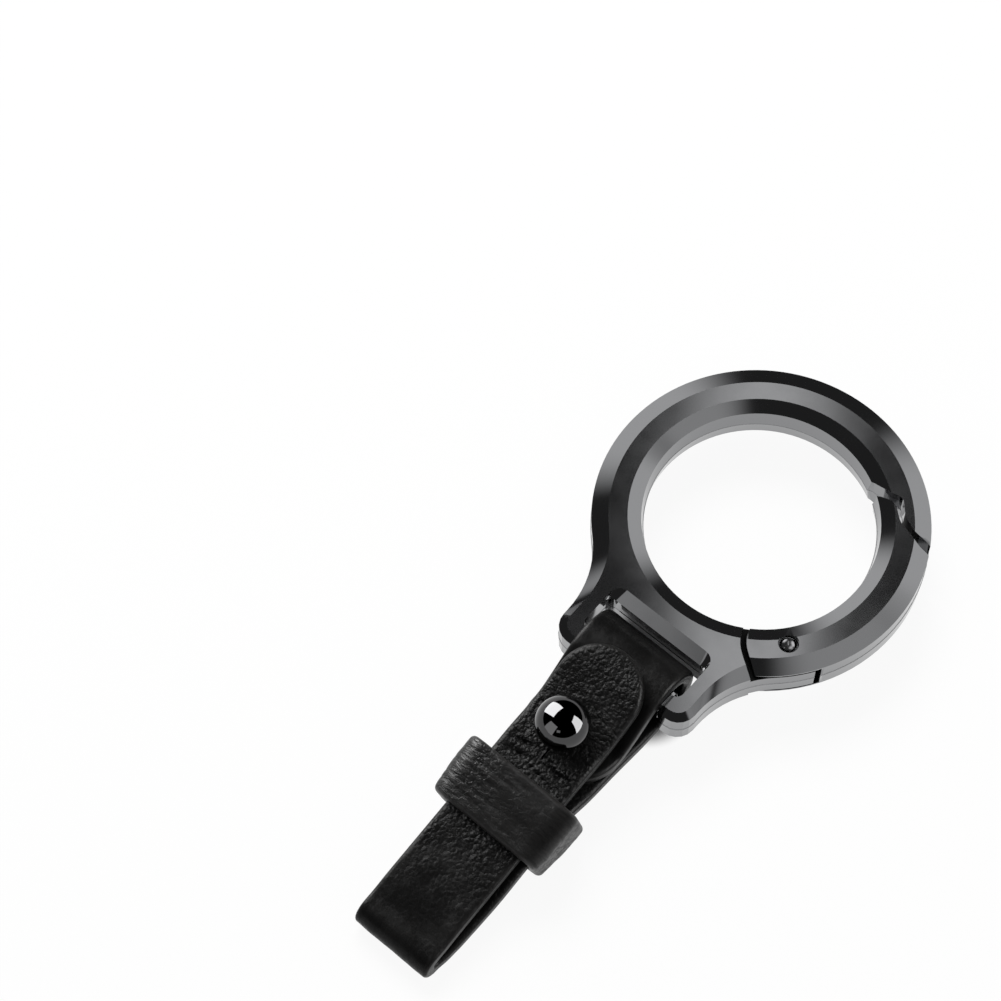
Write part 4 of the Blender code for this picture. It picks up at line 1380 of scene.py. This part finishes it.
    def build_sheet(self) -> Mesh:
        """Build the strap with its rounded rims, relief and maps, before its holes are cut.

        Returns:
            The closed mesh.
        """
        data = bmesh.new()
        layers = [data.loops.layers.uv.new(name) for name in LEATHER_MAPS]
        maps: dict[Any, tuple[Point, Point, Point]] = {}
        rings = []
        for length, place, normal, half_width in self.rows():
            share = read_table(GRAIN_SHARES, length / self.reach)
            columns = self.columns(half_width)
            sides: dict[int, list[Any]] = {1: [], -1: []}
            for side, line in sides.items():
                for across in columns:
                    inset = self.inset(length, across, half_width)
                    height, crease = self.relief(length, across, half_width, inset, side)
                    vert = data.verts.new(BAR_AXIS + place + Vector((across, 0, 0))
                                          + normal * side * height)
                    rim = max(0.0, 1.0 - inset / (self.rim_radius * self.rim_shade))
                    shift = self.flesh_side_shift if side < 0 else 0.0
                    maps[vert] = ((across * side + shift, length), (rim, crease), (share, 0.0))
                    line.append(vert)
            rings.append(sides[1] + sides[-1][::-1])
        for first, second in zip(rings, rings[1:]):
            bridge(data, first, second)
        data.faces.new(rings[0])
        data.faces.new(list(reversed(rings[-1])))
        for face in data.faces:
            write_maps(face, layers, [maps[loop.vert] for loop in face.loops])
        bmesh.ops.recalc_face_normals(data, faces=data.faces)
        return mesh_from("strap_fine", data)

    def cutters(self) -> list[Object]:
        """Make the tools that cut the tongue's keyhole and the round hole for the post.

        Returns:
            The cutters.
        """
        radius, half_slit = self.tongue_hole_radius, self.slit_width / 2
        mouth = math.asin(half_slit / radius)
        end = -radius - self.slit_length
        keyhole = [(-half_slit, end), (half_slit, end)] + arc(
            radius, mouth - QUARTER_TURN, 3 * QUARTER_TURN - mouth, self.hole_steps)
        post_hole = arc(self.post_hole_radius, 0.0, math.tau, self.hole_steps)[:-1]
        return [self.cutter("keyhole", keyhole, self.layer_split, self.cut_top),
                self.cutter("post_hole", post_hole, self.cut_bottom, self.layer_split)]

    def cutter(self, name: str, outline: Sequence[Point], bottom: float, top: float) -> Object:
        """Extrude an outline round the stud's axis.

        Args:
            name: name of the cutter.
            outline: its points, from the stud's axis.
            bottom: lower height from the bar's middle.
            top: upper height.

        Returns:
            The cutter.
        """
        data = bmesh.new()
        foot = BAR_AXIS + Vector((0, -self.hole_place, 0))
        rings = [[data.verts.new(foot + Vector((x, y, z))) for x, y in outline]
                 for z in (bottom, top)]
        for ring in rings:
            data.faces.new(ring)
        bridge(data, *rings)
        bmesh.ops.recalc_face_normals(data, faces=data.faces)
        return add_object(name, mesh_from(name, data))

    def build(self, material: Material) -> Object:
        """Build the strap.

        Args:
            material: its finish.

        Returns:
            The finished piece.
        """
        piece = add_object("strap_fine", self.build_sheet())
        cutters = self.cutters()
        for cutter in cutters:
            hole = piece.modifiers.new(cutter.name, "BOOLEAN")
            hole.object = cutter
            hole.solver = "EXACT"
        baked(piece)
        for cutter in cutters:
            bpy.data.objects.remove(cutter, do_unlink=True)
        piece.data = mesh_from(piece.name, bmesh_of(piece.data, MERGE / 4), material,
                               sharp_angle=self.sharp_angle)
        return publish(piece, Body.STRAP, Slot.STRAP_LEATHER, "strap")


@dataclass
class LeatherKeeper:
    """Leather loop round both layers, wider at its upper mouth, with soft walls and creases.

    Each crease is its place along the loop's width from -0.5 to 0.5, its depth, and the part of
    the front that it crosses, from -1 to 1.
    """

    width: float = 0.0073
    thickness: float = 0.0014
    half: float = 0.0057637
    bottom: float = -0.0026969
    top: float = 0.0024369
    flare: float = 0.0005
    side_flare: float = 0.00035
    corner_radius: float = 0.0008
    mouth_radius: float = 0.00055
    inner_radius: float = 0.00035
    inner_reach: float = 0.44
    rim_shade: float = 0.0005
    crown: float = 0.00016
    waviness: float = 0.00006
    calm_mouths: float = 14
    along_steps: int = 26
    inner_steps: int = 7
    mouth_steps: int = 8
    corner_steps: int = 8
    straight_steps: tuple[int, ...] = (50, 20, 50, 20)
    crease_width: float = 0.00021
    crease_fade: float = 0.3
    crease_wander: float = 0.035
    grain_start: float = -0.85
    grain_fade: float = 0.8
    grain_loss: float = 0.7
    creases: tuple[tuple[float, float, float, float], ...] = (
        (-0.30, 0.00012, -1.1, -0.1), (-0.16, 0.00014, -1.1, 0.1), (-0.04, 0.00012, -0.9, -0.2),
        (0.08, 0.00013, -1.1, 0.0), (0.22, 0.00014, -1.0, 0.3), (0.34, 0.00010, -0.7, 0.5),
        (-0.36, 0.00007, -0.2, 0.8), (-0.1, 0.00007, 0.2, 0.9))

    def section(self, flare: float) -> list[tuple[Vector, Vector]]:
        """Trace the inner section with its outward directions.

        Args:
            flare: 0 at the tight lower mouth, 1 at the open upper one.

        Returns:
            (place, outward direction) in (across, height), anticlockwise from the right side.
        """
        side = self.half + flare * self.side_flare - self.corner_radius
        top = self.top + flare * self.flare - self.corner_radius
        bottom = self.bottom - flare * self.flare + self.corner_radius
        centres = [Vector(centre) for centre in ((side, top), (-side, top), (-side, bottom),
                                                 (side, bottom))]
        outs = [Vector(out) for out in arc(1.0, 0.0, math.tau, 4 * self.corner_steps)]
        result: list[tuple[Vector, Vector]] = []
        for index, (centre, count) in enumerate(zip(centres, self.straight_steps)):
            start = index * self.corner_steps
            turn = outs[start:start + self.corner_steps + 1]
            result += [(centre + self.corner_radius * out, out) for out in turn]
            first, last = (middle + self.corner_radius * turn[-1]
                           for middle in (centre, centres[(index + 1) % 4]))
            result += [(first.lerp(last, i / count), turn[-1]) for i in range(1, count)]
        return result

    def wall(self) -> list[tuple[float, float, float]]:
        """Trace the closed outline of the wall, cut along the strap.

        Returns:
            (place along from -0.5 to 0.5, offset from the inner section, 1 on the outer face).
        """
        outer = 0.5 - self.mouth_radius / self.width
        face = [(outer * (2 * i / self.along_steps - 1), self.thickness, 1.0)
                for i in range(self.along_steps + 1)]
        mouth = [(outer + y / self.width, self.thickness - self.mouth_radius + x, 1.0)
                 for x, y in arc(self.mouth_radius, 0.0, QUARTER_TURN, self.mouth_steps)[1:-1]]
        mouth += [(0.5 - (self.inner_radius - x) / self.width, self.inner_radius - y, 0.0)
                  for x, y in arc(self.inner_radius, 0.0, QUARTER_TURN, self.mouth_steps)]
        inside = [(self.inner_reach * (1 - 2 * i / self.inner_steps), 0.0, 0.0)
                  for i in range(1, self.inner_steps)]
        return face + mouth + inside + [(-place, *rest) for place, *rest in reversed(mouth)]

    def relief(self, place: float, around: float, across: float) -> Point:
        """Give the relief of the outer face at a place.

        Args:
            place: place along the strap, from -0.5 to 0.5.
            around: length round the loop.
            across: place across the front, from -1 to 1.

        Returns:
            How far the face stands out, and how strong a crease is there.
        """
        spot = Vector((around * 300, place * self.width * 520, 2.0))
        swell = self.crown * (1 - (2 * place) ** 2)
        swell += self.waviness * (noise.noise(spot) + 0.5 * noise.noise(spot * 2.1))
        pressed = 0.0
        for at, depth, low, high in self.creases:
            wander = self.crease_wander * noise.noise(Vector((around * 420, at * 31, 5.0)))
            off = (place - at - wander) * self.width / self.crease_width
            pressed += depth * math.exp(-off * off) * window(across, low, high, self.crease_fade)
        return swell - pressed, min(1.0, pressed / FULL_CREASE)

    def grain_share(self, across: float) -> float:
        """Give how strong the grain is at a place across the front, from -1 to 1."""
        fade = min(1.0, max(0.0, (across - self.grain_start) / self.grain_fade))
        return 1.0 - self.grain_loss * fade * fade * (3 - 2 * fade)

    def build(self, material: Material) -> Object:
        """Build the keeper.

        Args:
            material: its finish.

        Returns:
            The finished piece.
        """
        data = bmesh.new()
        layers = [data.loops.layers.uv.new(name) for name in LEATHER_MAPS]
        tight, wide, wall = self.section(0.0), self.section(1.0), self.wall()
        lengths = [0.0]
        for (first, _), (second, _) in zip(tight, tight[1:] + tight[:1]):
            lengths.append(lengths[-1] + (second - first).length)
        normal = Vector((0, -STRAP_UPHILL.z, STRAP_UPHILL.y))
        rings, maps = [], []
        for length, (inner, out), (inner_wide, _) in zip(lengths, tight, wide):
            ring, ring_maps = [], []
            for place, offset, outer in wall:
                swell, crease = self.relief(place, length, inner.x / self.half)
                calm = min(1.0, (0.5 - abs(place)) * self.calm_mouths)
                spot = inner.lerp(inner_wide, place + 0.5) + out * (offset + outer * swell * calm)
                ring.append(data.verts.new(KEEPER_MIDDLE + Vector((spot.x, 0, 0))
                                           + STRAP_UPHILL * place * self.width
                                           + normal * spot.y))
                rim = max(0.0, 1 - (0.5 - abs(place)) * self.width / self.rim_shade) * outer
                ring_maps.append(((length, place * self.width + offset), (rim, crease * outer),
                                  (self.grain_share(inner.x / self.half), 0.0)))
            rings.append(ring)
            maps.append(ring_maps)
        # At the seam of the map the first ring counts again, at the whole length round the loop.
        maps.append([((lengths[-1], v), *rest) for (_, v), *rest in maps[0]])
        for index, ring in enumerate(rings):
            faces = bridge(data, ring, rings[(index + 1) % len(rings)])
            for row, face in enumerate(faces):
                after = (row + 1) % len(wall)
                write_maps(face, layers, (maps[index][row], maps[index][after],
                                          maps[index + 1][after], maps[index + 1][row]))
        bmesh.ops.recalc_face_normals(data, faces=data.faces)
        piece = add_object("keeper_loop_fine", mesh_from("keeper_loop_fine", data, material))
        return publish(piece, Body.KEEPER, Slot.KEEPER_LEATHER, "keeper_loop")


def main() -> None:
    """Build the studio and every piece of the keychain, in order."""
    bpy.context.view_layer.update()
    studio = Studio()
    tent = studio.build()
    wear = metal_wear_group()
    grain = leather_grain_group()
    gunmetal = MetalFinish("gunmetal", (0.24, 0.242, 0.248), 0.09, haze=0.02, rub=0.05)
    # Lighter finish for the rounded edges of the castings: a painted edge highlight.
    edge_highlight_paint = MetalFinish("gunmetal_painted_edge_highlight", (0.5, 0.5, 0.505), 0.2)
    # Dark finish of the walls across the joints: painted shade in the gap between the castings.
    joint_painted_shade = MetalFinish("joint_painted_shade", (0.03, 0.03, 0.03), 0.5)
    steel = MetalFinish("pin_steel", (0.42, 0.42, 0.43), 0.22)
    spring_steel = MetalFinish("spring_steel", (0.5, 0.49, 0.47), 0.2)
    chrome = MetalFinish("black_chrome", (0.06, 0.06, 0.061), 0.04, haze=0.015,
                         rub=0.05).material(wear)
    # The second colour of each leather is that of the grain's valleys, and also the painted shade
    # in its creases.
    strap_leather = LeatherFinish("strap_leather", (0.0055, 0.0054, 0.0053),
                                  (0.002, 0.002, 0.002), (0.011, 0.0108, 0.0105))
    keeper_leather = LeatherFinish("keeper_leather", (0.009, 0.0088, 0.0086),
                                   (0.004, 0.004, 0.004), (0.02, 0.0195, 0.019),
                                   roughness=0.36, pebbles_per_mm=1.9, specular=0.2,
                                   stretch=(800.0, 1200.0, 1000.0), grain_depth=0.00013,
                                   wrinkle=0.3, warp=0.9)
    casting = [finish.material(wear) for finish in (gunmetal, edge_highlight_paint, joint_painted_shade)]
    for node, body, facing in (("ring_frame", Body.FRAME, "gate"),
                               ("gate", Body.GATE, "ring_frame")):
        CastPiece(node, body, Slot.GUNMETAL, ridge_height=0.00006,
                  facing=facing).build(*casting)
    CastPiece("hinge_pin", Body.GATE, Slot.PIN_STEEL,
              edge_radius=0.00004).build(steel.material(wear))
    CastPiece("stud_screw", Body.STRAP, Slot.BLACK_CHROME, edge_radius=0.00005).build(chrome)
    ball = BallStud().build(chrome)
    GateSpring().build(spring_steel.material(wear))
    strap = LeatherStrap().build(strap_leather.material(grain))
    keeper = LeatherKeeper().build(keeper_leather.material(grain))
    studio.add_cards(tent, ball, strap, keeper)


if __name__ == "__main__":
    main()
